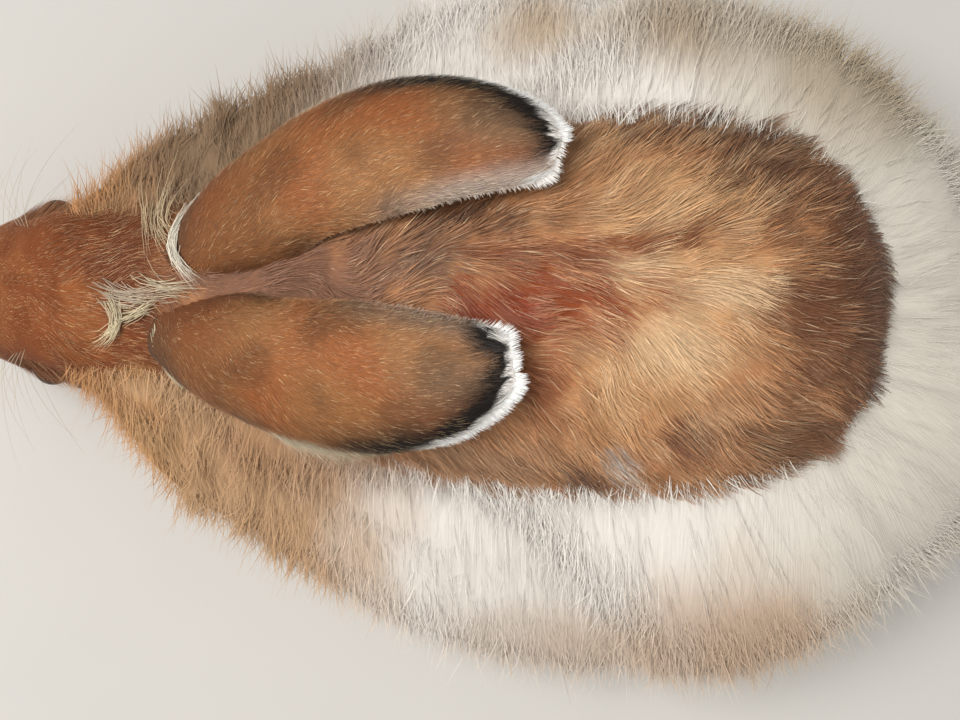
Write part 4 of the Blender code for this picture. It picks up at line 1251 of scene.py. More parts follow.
class RABBIT_OT_whiskers(bpy.types.Operator):
    """Makes the whiskers of the muzzle and the brows"""

    bl_idname = "rabbit.whiskers"
    bl_label = "Whiskers"

    def execute(self, context):
        rng = np.random.default_rng(21)
        longest = context.scene.rabbit_sizes.whisker_length / MM
        share = np.linspace(0.0, 1.0, 9)[:, None]
        courses = []
        for mirror in (1.0, -1.0):
            for row in range(4):
                for k in range(5):
                    along = 11.0 + 3.2 * k + rng.uniform(-0.6, 0.6)
                    degrees = 24.0 - 15.0 * row + rng.uniform(-3.0, 3.0)
                    point, outward = skin_spot(along, degrees, mirror)
                    length = longest * rng.uniform(0.45, 1.0) * (0.6 + 0.1 * k)
                    way = unit(outward + [0.25 * mirror, -0.45 + 0.18 * k, 0.35 - 0.25 * row])
                    droop = np.array([0.0, 0.25, -0.32]) * rng.uniform(0.5, 1.2)
                    courses.append(point + length * (way * share + droop * share**2))
            for k in range(4):
                point, outward = skin_spot(EYE_ALONG - 5.0 + 3.0 * k, 44.0 + 3.0 * k, mirror)
                way = unit(outward + [0.5 * mirror, -0.3 + 0.2 * k, 0.2])
                length = longest * rng.uniform(0.35, 0.5)
                droop = np.array([0.15 * mirror, 0.12, -0.12])
                courses.append(point + length * (way * share + droop * share**2))
        radius = 0.085 * (1.0 - share[:, 0]) ** 0.7 + 0.02
        whiskers = strand_tubes("whiskers", courses, radius, 5, "#c9bba6")
        dress(whiskers, hair_material("whisker_keratin", 0.4, 0.0), "head_fur")
        return {"FINISHED"}


def head_weight(points, outward):
    """Where the head's short coat grows, and how thickly. The eyes and the grooves of nose and mouth stay
    bare."""
    chance = 1.0 - ramp(-118.0, -106.0, points[:, 1])
    chance *= 1.0 - 0.7 * wool_share(points, outward)
    for mirror in (1.0, -1.0):
        chance *= ramp(1.12, 1.2, opening(points, mirror))
    front = np.flatnonzero(points[:, 1] < -170.0)
    for line, _, half in face_lines():
        chance[front] *= ramp(0.6 * half, 1.2 * half, nearest(points[front], line))
    # Shorter fur stands closer
    return chance * (1.0 + 1.4 * ramp(-150.0, -200.0, points[:, 1]))


def brow_share(points):
    """1 just above an eye, where longer fur hangs over it, and 0 elsewhere."""
    share = 0.0
    for mirror in (1.0, -1.0):
        above = points[:, 2] - eye_place(mirror)[0][2]
        share = np.maximum(share, ramp(2.6, 1.6, opening(points, mirror)) * ramp(1.0, 4.0, above))
    return share


# Length of the head's coat at places along the body, as a share of that behind the eyes
HEAD_LENGTH = ((-204.0, 0.34), (-185.0, 0.5), (-150.0, 0.85), (-120.0, 1.15))


class RABBIT_OT_head_coat(bpy.types.Operator):
    """Makes the short red brown coat of the head"""

    bl_idname = "rabbit.head_coat"
    bl_label = "Head coat"

    def execute(self, context):
        sizes = context.scene.rabbit_sizes
        rng = np.random.default_rng(31)
        along, angle, points, outward, back = scattered(sizes.head_count, head_weight, 32)
        count = len(points)
        brow = brow_share(points)
        cheek = ramp(-172.0, -140.0, points[:, 1]) * ramp(0.75, 0.1, np.abs(outward[:, 2]))
        sideways = np.sign(points[:, 0] - middle_x(points[:, 1])) * (0.22 + 1.3 * brow)
        spread = sideways[:, None] * [1.0, 0.0, 0.0]
        swirl = 0.35 * waves(points, 22.0, 33)[:, None] * np.cross(outward, back)
        flow = laid(back + spread + swirl + rng.normal(0.0, 0.12, points.shape), outward)
        length = sizes.head_length / MM * read(HEAD_LENGTH, points[:, 1])
        length *= rng.uniform(0.7, 1.15, count)
        lift = rng.uniform(0.22, 0.42, count)
        length *= 1.0 + 0.9 * brow + 0.5 * cheek
        lift += 0.55 * brow + 0.5 * cheek
        course = combed(points, outward, flow, length, lift * 0.7, SPIKE_SHARES)
        half = outlined(SPIKE_SHARES, rng.uniform(0.1, 0.19, count) * (0.7 + 0.05 * length))
        base = coat_colour(points, 0.3 * wool_share(points, outward))
        base = mixed(base, "#c98f56", 0.6 * cheek)
        tints = np.stack([base * 0.45, base * 1.5], axis=1)
        tipped(tints, some(rng, 0.26, count), "#e0b283", (0.2, 0.75))
        tints = varied(tints, rng, 0.34)
        material = hair_material("head_fur_hair", 0.62, 0.04)
        tufts = (course, half, outward, tints, unwrap_place(along, angle))
        front = points[:, 1] < -148.0
        for name, chosen in (("head_coat_front", front), ("head_coat_back", ~front)):
            dress(tuft_mesh(name, *part_of(tufts, chosen)), material, "head_fur")
        return {"FINISHED"}


# How far to the side the back's coat parts, at places along the body
PARTING = (
    (-90.0, -8.0),
    (-20.0, -4.0),
    (10.0, -12.0),
    (40.0, -19.0),
    (60.0, -12.0),
    (90.0, -8.0),
    (140.0, -6.0),
)


def back_weight(points, outward):
    """Where the plucked back's coat grows."""
    chance = ramp(-120.0, -106.0, points[:, 1]) * (1.0 - wool_share(points, outward, 7.0))
    return chance * ramp(-0.2, 0.1, outward[:, 2])


def back_flow(points, outward):
    """The lie of the back's coat: rearwards, and away from a winding parting on both sides."""
    off = points[:, 0] - read(PARTING, points[:, 1])
    fan = 1.15 * np.tanh(off / 26.0) * (1.0 - 0.45 * ramp(50.0, 120.0, points[:, 1]))
    fan += 0.38 * waves(points, 46.0, 44)
    way = np.stack([fan, np.ones_like(fan), np.zeros_like(fan)], axis=1)
    return laid(way, outward)


class RABBIT_OT_back_coat(bpy.types.Operator):
    """Makes the golden coat of the plucked back and the nape"""

    bl_idname = "rabbit.back_coat"
    bl_label = "Back coat"

    def execute(self, context):
        sizes = context.scene.rabbit_sizes
        rng = np.random.default_rng(41)
        along, angle, points, outward, _ = scattered(sizes.back_count, back_weight, 42)
        count = len(points)
        lie = back_flow(points, outward)
        swirl = 0.22 * waves(points, 9.0, 43)[:, None] * np.cross(outward, lie)
        flow = laid(lie + swirl + rng.normal(0.0, 0.1, points.shape), outward)
        edge = wool_share(points, outward, 14.0)
        length = sizes.back_length / MM * (0.85 + 0.05 * edge + 0.25 * waves(points, 14.0, 45))
        length *= rng.uniform(0.65, 1.15, count) * (0.62 + 0.38 * ramp(-110.0, -50.0, points[:, 1]))
        lift = 0.38 + 0.22 * waves(points, 11.0, 46) + rng.uniform(-0.08, 0.12, count) + 0.1 * edge
        lift = np.clip(lift, 0.12, 1.0)
        course = combed(points, outward, flow, length, lift, SHORT_SHARES)
        half = outlined(SHORT_SHARES, rng.uniform(0.1, 0.18, count))
        base = coat_colour(points + rng.normal(0.0, 2.0, points.shape), np.zeros(count))
        streak = waves(points, 10.0, 47)
        fair = ramp(-10.0, 45.0, points[:, 1]) * ramp(120.0, 80.0, points[:, 1])
        base = mixed(base, "#e8c296", 0.3 * ramp(0.1, 1.0, streak) * fair)
        base = mixed(base, base * 0.6, 0.45 * ramp(-0.1, -1.0, streak))
        tints = np.stack([base * 0.7, base, base * 1.14], axis=1)
        pale = some(rng, 0.07 * ramp(-80.0, -30.0, points[:, 1]), count)
        tipped(tints, pale, "#ecd0a8", (0.15, 0.4, 0.7))
        tints = varied(tints, rng, 0.12)
        material = hair_material("back_fur_hair", 0.6, 0.08)
        tufts = (course, half, outward, tints, unwrap_place(along, angle))
        fore, bent = points[:, 1] < 30.0, some(rng, 0.3, count)
        for name, chosen, step in (
            ("fore", fore & bent, 1),
            ("rear", ~fore & bent, 1),
            ("fore_fine", fore & ~bent, 2),
            ("rear_fine", ~fore & ~bent, 2),
        ):
            piece = tuft_mesh("back_coat_" + name, *part_of(tufts, chosen, step))
            dress(piece, material, "torso_wool")
        return {"FINISHED"}


def wool_weight(points, outward):
    """Where the long wool grows: thickest on the upper sides, thinner underneath."""
    chance = wool_share(points, outward) * ramp(2.0, 8.0, points[:, 2])
    return chance * (0.3 + 0.7 * ramp(-0.75, 0.1, outward[:, 2]))


def brink(outward):
    """1 on the brink of the dense wool, where its top rounds off into its sides, and 0 elsewhere."""
    return ramp(0.93, 0.62, outward[:, 2]) * ramp(0.0, 0.35, outward[:, 2])


def wisp_weight(points, outward):
    """Where the fine wool stands: all over the dense wool but for its underside, thickest at the rim."""
    y = points[:, 1]
    half = read(SADDLE_HALF_WIDTH, y)
    beside = ramp(half - 8.0, half - 2.0, np.abs(points[:, 0] - middle_x(y)))
    chance = np.maximum(beside, ramp(0.0, -0.2, outward[:, 2])) * ramp(-150.0, -138.0, y)
    chance *= ramp(3.0, 9.0, points[:, 2]) * (0.25 + 0.75 * ramp(-0.7, 0.0, outward[:, 2]))
    return chance * (1.0 + 3.0 * brink(outward)) * (1.0 + 0.5 * ramp(-40.0, -100.0, y))


def nearest_of(points, guides):
    """The number of the nearest guide to each point, found in batches."""
    found = []
    for batch in np.array_split(points, max(1, len(points) // 2000)):
        found.append(np.argmin(np.sum((batch[:, None] - guides[None]) ** 2, axis=-1), axis=1))
    return np.concatenate(found)


def turned(ways, turn):
    """Directions turned about the upright by an angle."""
    x, y = ways[..., 0], ways[..., 1]
    level = [x * np.cos(turn) - y * np.sin(turn), x * np.sin(turn) + y * np.cos(turn)]
    return np.stack([*level, ways[..., 2]], axis=-1)


def wool_course(points, outward, length, turn, share):
    """Points along the wool: a parabola from the way it leaves the skin to the way its tips hang, both
    turned about the upright by an angle."""
    start, end = (turned(way, turn)[:, None] for way in wool_bends(points, outward))
    share = share[..., None]
    return points[:, None] + length[:, None, None] * (start * share + (end - start) * share**2 / 2.0)


def strand_place(points):
    """A distance across the strands, in millimetres: along the flanks it is the way along the body, and
    round the rump the way round a circle, so that it hardly changes along a strand and has no seam at the
    tail."""
    x, y = points[..., 0], points[..., 1]
    round_rump = RUMP_TURN_RADIUS * np.arctan2(y - RUMP_TURN_Y, np.abs(x) + 1e-6)
    place = np.where(y < RUMP_TURN_Y, y, RUMP_TURN_Y + round_rump)
    return np.where(x > 0.0, place, 2.0 * RUMP_TURN_Y + RUMP_TURN_RADIUS * np.pi - place)


def wool_folds(points, angle):
    """1 in the narrow folds between the wool's locks and 0 on the locks. They follow the lines where a noise
    drawn across the strands passes zero, and some are faint."""
    across = np.stack([strand_place(points), 3.5 * np.sin(angle)], axis=-1)
    faint = np.clip(0.5 + 0.6 * waves(across * [1.0, 5.0], 50.0, 61), 0.0, 1.0)
    lines = ramp(0.34, 0.0, np.abs(waves(across, 34.0, 57)))
    return lines * faint * ramp(-120.0, -60.0, points[..., 1])


def shell_at(along, angle):
    """The surface of the dense wool under the strands: the skin pushed out along the wool's own courses to
    a share of their length, and drawn in under the short coat. Waves across the lie make soft flutes, and
    folds part the locks. Also gives the wool's direction there and how woolly the place is."""
    points, outward = skin_at(along, angle)
    woolly = wool_share(points, outward, 16.0)
    folds = wool_folds(points, angle)
    across = np.stack([strand_place(points), 9.0 * np.sin(angle)], axis=-1)
    flutes = 0.018 * waves(across, 6.5, 58) + 0.025 * waves(across, 15.0, 60)
    # On the right and behind, the folds part the wool into separate locks
    deep = 0.035 + 0.11 * ramp(10.0, -60.0, points[..., 0]) * ramp(-30.0, 50.0, points[..., 1])
    share = (read(UNDER_WOOL, points[..., 1]) * woolly * (1.02 + flutes - deep * folds))[..., None]
    start, end = wool_bends(points, outward)
    course = start * share + (end - start) * share**2 / 2.0
    place = points + wool_length(points)[..., None] * course - outward * (2.5 * (1.0 - woolly))[..., None]
    return settled(place), unit(start + (end - start) * share), woolly


def shell_place(along, angle):
    """Points of the surface of the dense wool."""
    return shell_at(along, angle)[0]


def under_wool():
    """The dense wool under the strands as one closed body."""
    rings, sides = 240, 290
    along = np.linspace(1.0, BODY_LENGTH - 1.5, rings)
    along, angle = np.meshgrid(along, turns(sides), indexing="ij")
    place = shell_place(along, angle)
    folds = wool_folds(flesh(along, angle), angle)
    # Painted shade: the dense wool is a little darker than its own colour, and darker still in the folds
    # between its locks
    colours = (0.97 - 0.14 * folds)[..., None] * wool_colour(place)
    made = closed_tube("under_wool", place, *middles(place), colours)
    # How far across and along its strands each place is, which the material draws hairs from
    reach = np.hypot(place[..., 0], np.maximum(place[..., 1] - RUMP_TURN_Y, 0.0)) + np.abs(place[..., 2])
    strands = np.stack([strand_place(place), reach, np.zeros_like(reach)], axis=-1).reshape(-1, 3)
    strands = np.concatenate([strands, strands[:1], strands[-1:]])
    lie = made.data.attributes.new("Strands", "FLOAT_VECTOR", "POINT")
    lie.data.foreach_set("vector", strands.astype(np.float32).ravel())
    return made


def wool_colour(points):
    """The colour of the long wool. On the cheeks it takes the golden colour of the face."""
    colour = coat_colour(points, np.ones(points.shape[:-1]))
    cheek = ramp(-112.0, -142.0, points[..., 1] + 8.0 * waves(points, 16.0, 59))
    return mixed(colour, "#b98352", 0.85 * cheek)


def broad_side(outward):
    """The way that the broad sides of the wool's strands face: up, and a little outwards."""
    return unit(0.5 * outward + UP)


class RABBIT_OT_wool(bpy.types.Operator):
    """Makes the dense wool, the fine wool on it and the long strands"""

    bl_idname = "rabbit.wool"
    bl_label = "Long wool"

    def execute(self, context):
        sizes = context.scene.rabbit_sizes
        rng = np.random.default_rng(51)
        along, angle, points, outward, _ = scattered(sizes.wool_count, wool_weight, 52)
        count = len(points)
        # The strands start just inside the dense wool and end a little outside it
        woolly = wool_share(points, outward, 16.0)
        first = 0.88 * read(UNDER_WOOL, points[:, 1]) * woolly
        last = np.minimum(first + rng.uniform(0.2, 0.36, count), 1.0)
        share = first[:, None] + (last - first)[:, None] * np.array(WOOL_SHARES)
        # Bundles of about 30 mm lean one way together, and locks of about 8 mm gather towards their tips
        bundle = nearest_of(points, points[rng.choice(count, WOOL_BUNDLES, replace=False)])
        lock_roots = rng.choice(count, WOOL_LOCKS, replace=False)
        lock = nearest_of(points, points[lock_roots])
        lean = rng.normal(0.0, 0.05, WOOL_BUNDLES)[bundle] + rng.normal(0.0, 0.05, WOOL_LOCKS)[lock]
        fullness = rng.normal(1.0, 0.03, WOOL_BUNDLES)[bundle] * rng.normal(1.0, 0.035, WOOL_LOCKS)[lock]
        length = wool_length(points) * fullness
        root = lock_roots[lock]
        guides = wool_course(points[root], outward[root], length[root], lean[root], share)
        own_length = length * (0.84 + 0.2 * rng.uniform(0.0, 1.0, count))
        own = wool_course(points, outward, own_length, lean + rng.normal(0.0, 0.1, count), share)
        apart = (points - points[root])[:, None]
        gather = (0.4 * share**1.2)[..., None]
        course = own * (1.0 - gather) + (guides + 0.35 * apart) * gather
        # Soft waves, the same through a lock
        side = unit(np.cross(course[:, -1] - course[:, 0], UP))
        phase = rng.uniform(0.0, 2.0 * np.pi, WOOL_LOCKS)[lock][:, None] + rng.normal(0.0, 0.5, (count, 1))
        wave = np.sin(phase + share * length[:, None] * (2.0 * np.pi / WAVE_LENGTH)) * share
        course += side[:, None] * wave[..., None] + rng.normal(0.0, 0.5, course.shape) * share[..., None]
        course[:, 0] -= outward * 0.8
        course = settled(course)
        half = outlined(WOOL_SHARES, sizes.wool_width / MM / 2.0 * rng.uniform(0.35, 0.65, count))
        tints = wool_colour(course + rng.normal(0.0, 4.0, (count, 1, 3)))
        tip = ramp(0.7, 1.05, share) * rng.uniform(0.0, 0.5, (count, 1))
        tints = mixed(tints, "#b8966c", tip)
        dark = some(rng, 0.04, count)
        tints[dark] = mixed(tints[dark], "#6b5138", ramp(0.7, 1.0, share[dark]))
        tints = varied(tints, rng, 0.05, 0.92)
        material = hair_material("angora_wool", 0.72, 0.35)
        dress(under_wool(), wool_material(), "torso_wool")
        self.wisps(context, material)
        tufts = (course, half, broad_side(outward), tints, unwrap_place(along, angle))
        self.parted("wool", points, tufts, material)
        return {"FINISHED"}

    def wisps(self, context, material):
        """Makes the fine wool at the surface: short strands that lie along the dense wool and stand out on
        its brink, gathered a little in locks of about 10 mm. The bent ones are the wisps, and the straight
        ones the nap."""
        rng = np.random.default_rng(55)
        sizes = context.scene.rabbit_sizes
        along, angle, points, outward, _ = scattered(sizes.wisp_count, wisp_weight, 56, shell_place, 5)
        count = len(points)
        _, way, woolly = shell_at(along, angle)
        lock_roots = rng.choice(count, WISP_LOCKS, replace=False)
        lock = nearest_of(points, points[lock_roots])
        way = turned(way, rng.normal(0.0, 0.12, WISP_LOCKS)[lock] + rng.normal(0.0, 0.1, count))
        rim = brink(outward)
        # The strands lie on the dense wool, but on its brink they stand out, more level
        flat_on = np.sum(way * outward, axis=1, keepdims=True) * outward
        way = unit(way - flat_on * (0.82 - 0.62 * rim[:, None]))
        way[:, 2] *= 1.0 - 0.6 * rim
        way = unit(unit(way) + rng.normal(0.0, 1.0, way.shape) * (0.05 + 0.13 * rim[:, None]))
        length = (8.0 + 3.0 * rim) * (0.5 + rng.uniform(0.0, 1.0, count) ** 1.3)
        share = np.array(SHORT_SHARES)[None, :, None]
        stray = (0.06 + 0.18 * rim[:, None, None]) * rng.normal(0.0, 1.0, (count, 1, 3))
        bend = way[:, None] * share + (np.array([0.0, 0.0, -0.06]) + stray) * share**2
        course = (points - outward * 0.5)[:, None] + length[:, None, None] * bend
        course += 0.18 * (points[lock_roots[lock]] - points)[:, None] * share**1.5
        course = settled(course)
        wide = sizes.wool_width / MM / 2.0
        half = outlined(SHORT_SHARES, wide * rng.uniform(0.3, 0.6, count) * (1.0 + 0.35 * rim))
        tints = wool_colour(course + rng.normal(0.0, 3.0, (count, 1, 3)))
        # Tan and dark tips lie on the sides only, not on the lit brink
        low = ramp(0.8, 0.3, outward[:, 2])
        tan = rng.uniform(0.0, 0.4, count) * woolly * low
        tints = mixed(tints, "#bfa27c", tan[:, None] * [0.0, 0.4, 0.9])
        tipped(tints, some(rng, 0.015 * low, count), "#5f4731", (0.0, 0.3, 0.9))
        tints = varied(tints, rng, 0.08, 0.92)
        tufts = (course, half, broad_side(outward), tints, unwrap_place(along, angle))
        loose = some(rng, 0.05 + 0.55 * rim, count)
        for stem, kind, step in (("wisps", loose, 1), ("nap", ~loose, 2)):
            self.parted(stem, points[kind], part_of(tufts, kind, step), material)

    def parted(self, stem, points, tufts, material):
        """Makes one piece for each stretch of the wool, so that none holds too many faces."""
        left, y = points[:, 0] > 0.0, points[:, 1]
        flank = (y >= FLANK_FROM) & (y < FLANK_TO)
        for part, stretch in (("shoulder", y < FLANK_FROM), ("flank", flank), ("rump", y >= FLANK_TO)):
            for side, on_side in (("left", left), ("right", ~left)):
                slot = {"shoulder": "neck", "flank": f"haunch_{side}", "rump": "tail"}[part]
                piece = tuft_mesh(f"{stem}_{side}_{part}", *part_of(tufts, stretch & on_side), soft=0.88)
                dress(piece, material, slot + "_wool")


class RABBIT_OT_ear_coat(bpy.types.Operator):
    """Makes the short coat of both ears, the fringes at their rims and the locks at their roots"""

    bl_idname = "rabbit.ear_coat"
    bl_label = "Ear coat"

    def execute(self, context):
        material = hair_material("ear_fur_hair", 0.6, 0.04)
        for seed, name in enumerate(EARS):
            piece = self.short_coat(context, name, 60 + seed)
            dress(piece, material, name + "_fur")
            piece = self.fringe(name, 70 + seed)
            dress(piece, material, name + "_fur")
        dress(root_locks(), material, "head_fur")
        return {"FINISHED"}

    def short_coat(self, context, name, seed):
        """Flat tufts on both sides of the ear, lying towards its tip and a little outwards."""
        rng = np.random.default_rng(seed)
        tries = int(context.scene.rabbit_sizes.ear_count * 1.3)
        share, place = spread_evenly(tries)
        edge = 2.0 * place - 1.0
        keep = some(rng, ear_half(name, share, edge) / 24.0, tries)
        share, edge = share[keep] * 0.995, edge[keep]
        count = len(share)
        hollow = some(rng, 0.22, count)
        side = np.where(hollow, -1.0, 1.0)
        place, outward, _, _ = ear_at(name, share, edge, side * (EAR_SKIN - 0.4))
        outward = outward * side[:, None]
        # Where the tip of each tuft lies over the ear's surface
        lean = 0.3 * edge + 0.2 * np.sign(EARS[name][2]) + 0.25 * waves(place, 24.0, 64)
        lean += rng.normal(0.0, 0.14, count)
        length = rng.uniform(3.2, 5.4, count) * (1.0 + 0.3 * hollow)
        far = np.clip(share + length * np.cos(lean) / EAR_LENGTH, 0.0, 1.0)
        half_ear = np.maximum(ear_half(name, share, edge), 4.0)
        wide = np.clip(edge + length * np.sin(lean) / half_ear, -1.0, 1.0)
        over = ear_at(name, far, wide, side * (EAR_SKIN + rng.uniform(0.25, 0.9, count)))[0]
        course = np.stack([place, over], axis=1)
        half = outlined(SPIKE_SHARES, rng.uniform(0.11, 0.2, count))
        base = ear_colour(name, share, edge, hollow.astype(float))
        tints = np.stack([base * 0.55, base * 1.4], axis=1)
        tipped(tints, some(rng, 0.12, count) & ~hollow & (share < 0.85), "#e0bf90", (0.1, 0.65))
        tints = varied(tints, rng, 0.3)
        unwrap = np.stack([share, np.where(hollow, 0.75, 0.25) + 0.24 * edge], axis=-1)
        return tuft_mesh(name + "_coat", course, half, outward, tints, unwrap)

    def fringe(self, name, seed):
        """Longer hairs along the rims: white and thick on the outer side and round the tip, greyish cream
        towards the root, where they lie rearwards under the outer edge."""
        rng = np.random.default_rng(seed)
        count = FRINGE_COUNT
        left = name == "ear_left"
        outer = np.sign(EARS[name][2])
        kind = rng.uniform(0.0, 1.0, count)
        share = np.where(kind < 0.42, rng.uniform(0.72, 1.0, count), rng.uniform(0.0, 1.0, count))
        edge = outer * np.where((kind < 0.42) | (kind > 0.68), 1.0, -1.0) * rng.uniform(0.9, 1.0, count)
        at_end = (kind > 0.3) & (kind < 0.42)
        share = np.where(at_end, rng.uniform(0.975, 1.0, count), share)
        edge = np.where(at_end, outer * rng.uniform(-1.0, 0.9, count), edge)
        place, outward, around, heading = ear_at(name, share, edge, rng.uniform(-0.6, 0.6, count))
        is_outer = edge * outer > 0.0
        white = np.maximum(ramp(0.7, 0.82, share) * is_outer, ramp(0.93, 0.97, share))
        white *= 1.0 if left else 0.6 + 0.4 * is_outer
        root = ramp(0.72, 0.4, share) * is_outer
        sideways = np.sign(edge) * np.where(at_end, 0.3, 0.9 - 0.4 * root)
        ahead = 0.45 + 0.75 * ramp(0.85, 1.0, share) + 0.5 * root
        way = around * sideways[:, None] + heading * ahead[:, None]
        # Towards the root the rim is rolled down, and its hairs stick out level from under it
        level = unit(around * [1.0, 1.0, 0.0]) * np.sign(edge)[:, None] * 1.3 + heading * 1.1 - 0.1 * UP
        way = way * (1.0 - root[:, None]) + unit(level) * root[:, None]
        way = unit(way + rng.normal(0.0, 0.12, place.shape) - outward * 0.12)
        # They are long on the left ear only
        long = 14.0 if left else 3.0
        length = (2.4 + 2.0 * white + long * root * ramp(0.0, 0.25, share)) * rng.uniform(0.6, 1.15, count)
        reach = length[:, None] * (np.array(SHORT_SHARES) - 0.08)
        course = place[:, None] + way[:, None] * reach[..., None]
        half = outlined(SHORT_SHARES, rng.uniform(0.09, 0.17, count))
        base = mixed(ear_colour(name, share, edge, np.zeros(count)), "#d0c4a8", 0.25 + 0.65 * root)
        base = mixed(base, "#b9aea3", 0.6 * ramp(0.5, 0.8, share) * ~is_outer)
        base = mixed(base, "#f8f4ee", white)
        tints = varied(np.stack([base * 0.85, base, base * 1.05], axis=1), rng, 0.08)
        unwrap = np.stack([share, 0.25 + 0.24 * edge], axis=-1)
        return tuft_mesh(name + "_fringe", course, half, outward, tints, unwrap)


# Pale locks at the ears' roots: four places with heights over the skin, number of hairs, spread and colour
ROOT_LOCKS = (
    (((-43, -96, 4), (-28, -103, 5), (-17, -104, 6), (-7, -96, 4)), 90, 1.8, "#d6ccb8"),
    (((-43, -114, 5), (-33, -113, 4), (-25, -111, 3), (-17, -104, 4)), 60, 6.0, "#c4ad88"),
    (((-7, -116, 2), (-5, -110, 3), (-5, -104, 3), (-4, -98, 3)), 40, 3.2, "#c9b797"),
    (((-6, -130, 2), (-3, -124, 2), (-2, -116, 3), (-2, -108, 3)), 50, 3.6, "#b8a48c"),
    (((-4, -128, 2), (3, -125, 3), (9, -127, 3), (14, -134, 2)), 60, 2.2, "#cbb995"),
    (((4, -124, 2), (3, -119, 3), (1, -115, 3), (-1, -111, 3)), 40, 2.2, "#cbb995"),
    (((7, -111, 4), (15, -111, 5), (24, -108, 5), (32, -103, 4)), 40, 0.6, "#c9b998"),
)


def skin_height(points):
    """How high the skin's upper side is at places seen from above, read from its nearest point."""
    along, angle = np.linspace(5.0, 0.6 * BODY_LENGTH, 200), np.linspace(0.03, 0.97, 90) * np.pi
    upper = skin_at(*np.meshgrid(along, angle, indexing="ij"))[0].reshape(-1, 3)
    return upper[nearest_of(points[:, :2], upper[:, :2]), 2]


def root_locks():
    """Pale locks round the roots of the ears. Each is carried along a curve through its places, and its
    hairs keep off the curve by a spread that narrows midway."""
    rng = np.random.default_rng(91)
    steps = np.linspace(0.0, 1.0, 5)
    courses, tints = [], []
    for places, count, spread, hexed in ROOT_LOCKS:
        places = np.array(places, float)
        places[:, 2] += skin_height(places)
        first, last = rng.uniform(0.0, 0.3, (count, 1)), rng.uniform(0.65, 1.05, (count, 1))
        at = first + (last - first) * steps
        course = eased(np.linspace(0.0, 1.0, 4), places, np.clip(at, 0.0, 1.0))
        off = rng.normal(0.0, spread, (count, 1, 3)) * [1.0, 1.0, 0.4]
        narrowed = off * (0.45 + 2.2 * (at - 0.5) ** 2)[..., None]
        courses.append(course + narrowed + rng.normal(0.0, 0.25, course.shape))
        colour = linear(hexed) * np.exp(rng.normal(0.0, 0.14, (count, 1, 1)))
        tints.append(colour * np.linspace(0.7, 1.05, 5)[:, None])
    course, tints = np.concatenate(courses), np.clip(np.concatenate(tints), 0.0, 0.95)
    half = outlined(steps, rng.uniform(0.07, 0.15, len(course)))
    up = np.tile(unit(np.array([0.05, -0.1, 1.0])), (len(course), 1))
    places = unwrap_place(100.0 + course[:, 0, 0], np.full(len(course), np.pi / 2.0))
    return tuft_mesh("root_locks", course, half, up, tints, places)


class RABBIT_OT_foot_coat(bpy.types.Operator):
    """Makes the short pale coat of the four feet"""

    bl_idname = "rabbit.foot_coat"
    bl_label = "Foot coat"

    def execute(self, context):
        material = hair_material("foot_fur_hair", 0.65, 0.15)
        count = context.scene.rabbit_sizes.foot_count
        seed = 80
        for side, mirror in (("left", 1.0), ("right", -1.0)):
            for limb, path in (("foreleg", FORELEG_PATH), ("hind_foot", HIND_FOOT_PATH)):
                seed += 1
                piece = self.coat(f"{limb}_{side}_coat", path, mirror, count, seed)
                dress(piece, material, f"{limb}_{side}_fur")
        return {"FINISHED"}

    def coat(self, name, path, mirror, count, seed):
        """Short tufts on the leg and its toes, lying towards the toes."""
        rng = np.random.default_rng(seed)
        tubes = [(limb_rows(path, mirror), count, LIMB_COAT)]
        tubes += [(rows, count // 8, TOE_COAT) for rows in toe_rows(path, mirror)]
        groups = []
        for rows, number, inset in tubes:
            length = reaches(rows)[-1]
            at = rng.uniform(0.04, 0.98, number) * length
            turn = rng.uniform(-0.5, np.pi + 0.5, number)
            groups.append((*tube_at(rows, at, turn, inset), at / length, turn))
        place, outward, heading, at, turn = (np.concatenate(group) for group in zip(*groups))
        flow = laid(heading + rng.normal(0.0, 0.12, place.shape), outward)
        length = rng.uniform(3.5, 6.0, len(place))
        course = combed(place, outward, flow, length, rng.uniform(0.12, 0.24, len(place)), SPIKE_SHARES)
        course[..., 2] = np.maximum(course[..., 2], 0.7)
        half = outlined(SPIKE_SHARES, rng.uniform(0.16, 0.28, len(place)))
        base = picked("foot", place.shape)
        tints = varied(np.stack([base * 0.75, base * 1.1], axis=1), rng, 0.1)
        unwrap = np.stack([at, np.mod(turn, 2.0 * np.pi) / (2.0 * np.pi)], axis=-1)
        return tuft_mesh(name, course, half, outward, tints, unwrap)


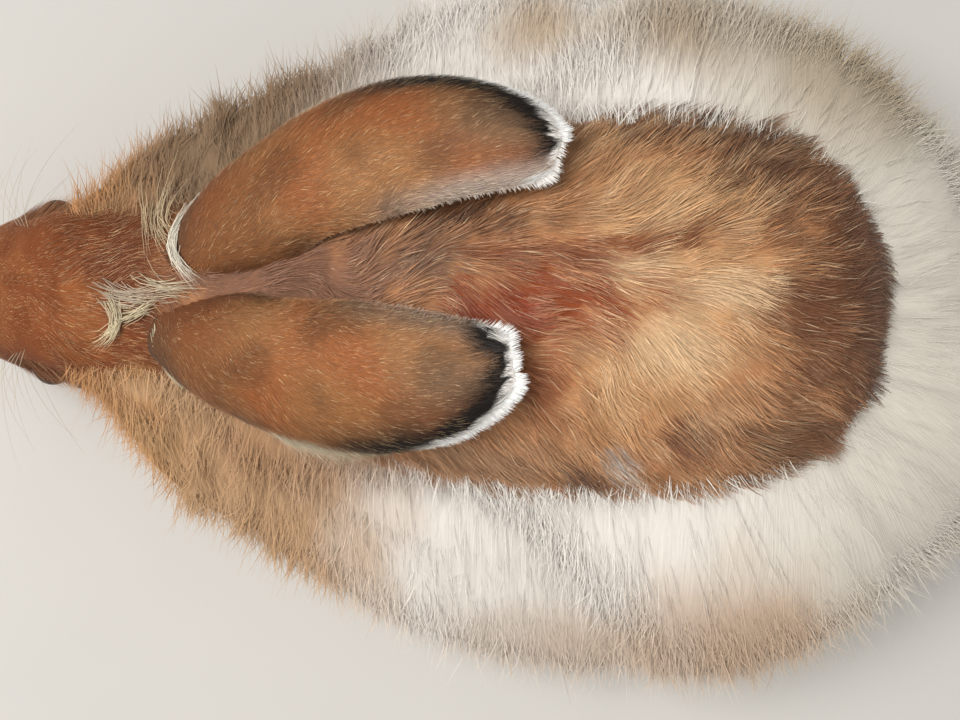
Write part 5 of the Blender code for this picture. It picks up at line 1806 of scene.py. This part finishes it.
class RABBIT_OT_stage(bpy.types.Operator):
    """Makes the floor, the soft light and the camera"""

    bl_idname = "rabbit.stage"
    bl_label = "Stage"

    def execute(self, context):
        scene = context.scene
        corners = np.array([[-1.0, -1.0, 0.0], [1.0, -1.0, 0.0], [1.0, 1.0, 0.0], [-1.0, 1.0, 0.0]])
        floor = mesh_piece("floor", corners * FLOOR_HALF, [np.array([[0, 1, 2, 3]])])
        floor.data.materials.append(paper_material())
        lamp("key_light", (-0.1, -0.38, 1.15), 0.5, 12.2)
        lamp("fill_light", (0.9, 0.4, 0.9), 1.2, 3.0)
        world = bpy.data.worlds.new("studio")
        world.use_nodes = True
        sky = world.node_tree.nodes["Background"]
        sky.inputs["Color"].default_value = (1.0, 0.985, 0.96, 1.0)
        sky.inputs["Strength"].default_value = 0.45
        scene.world = world
        scene.view_settings.view_transform = "Standard"
        lens = bpy.data.cameras.new("camera")
        lens.lens = 50.0
        lens.sensor_width = 36.0
        lens.clip_end = 10.0
        camera = bpy.data.objects.new("camera", lens)
        scene.collection.objects.link(camera)
        # Straight above the back, with the nose to the left of the picture
        camera.location = (0.0187, 0.0, 0.58)
        camera.rotation_euler = (0.0, 0.0, math.radians(90.0))
        scene.camera = camera
        return {"FINISHED"}


def lamp(name, place, size, power):
    """A square soft light that faces the middle of the animal, 80 mm over the floor."""
    light = bpy.data.lights.new(name, "AREA")
    light.size = size
    light.energy = power
    made = bpy.data.objects.new(name, light)
    bpy.context.scene.collection.objects.link(made)
    made.location = place
    aim = -np.array(place) + [0.0, 0.0, 0.08]
    made.rotation_euler = (
        math.atan2(math.hypot(aim[0], aim[1]), -aim[2]),
        0.0,
        math.atan2(aim[1], aim[0]) - math.pi / 2,
    )


OPERATORS = (
    RABBIT_OT_skin,
    RABBIT_OT_eyes,
    RABBIT_OT_claws,
    RABBIT_OT_whiskers,
    RABBIT_OT_head_coat,
    RABBIT_OT_back_coat,
    RABBIT_OT_wool,
    RABBIT_OT_ear_coat,
    RABBIT_OT_foot_coat,
    RABBIT_OT_stage,
)


class RABBIT_PT_looks(bpy.types.Panel):
    """Lists the rabbit's sizes, colours and pieces"""

    bl_idname = "RABBIT_PT_looks"
    bl_label = "Angora rabbit"
    bl_space_type = "VIEW_3D"
    bl_region_type = "UI"
    bl_category = "Rabbit"

    def draw(self, context):
        for group in (context.scene.rabbit_sizes, context.scene.rabbit_colours):
            for name in group.__annotations__:
                self.layout.prop(group, name)
        for operator in OPERATORS:
            self.layout.operator(operator.bl_idname)


CLASSES = (RabbitSizes, RabbitColours, *OPERATORS, RABBIT_PT_looks)


def register():
    for made in CLASSES:
        bpy.utils.register_class(made)
    bpy.types.Scene.rabbit_sizes = bpy.props.PointerProperty(type=RabbitSizes)
    bpy.types.Scene.rabbit_colours = bpy.props.PointerProperty(type=RabbitColours)


def unregister():
    del bpy.types.Scene.rabbit_sizes
    del bpy.types.Scene.rabbit_colours
    for made in reversed(CLASSES):
        bpy.utils.unregister_class(made)


def main():
    register()
    for operator in OPERATORS:
        getattr(bpy.ops.rabbit, operator.bl_idname.split(".")[1])()


if __name__ == "__main__":
    main()
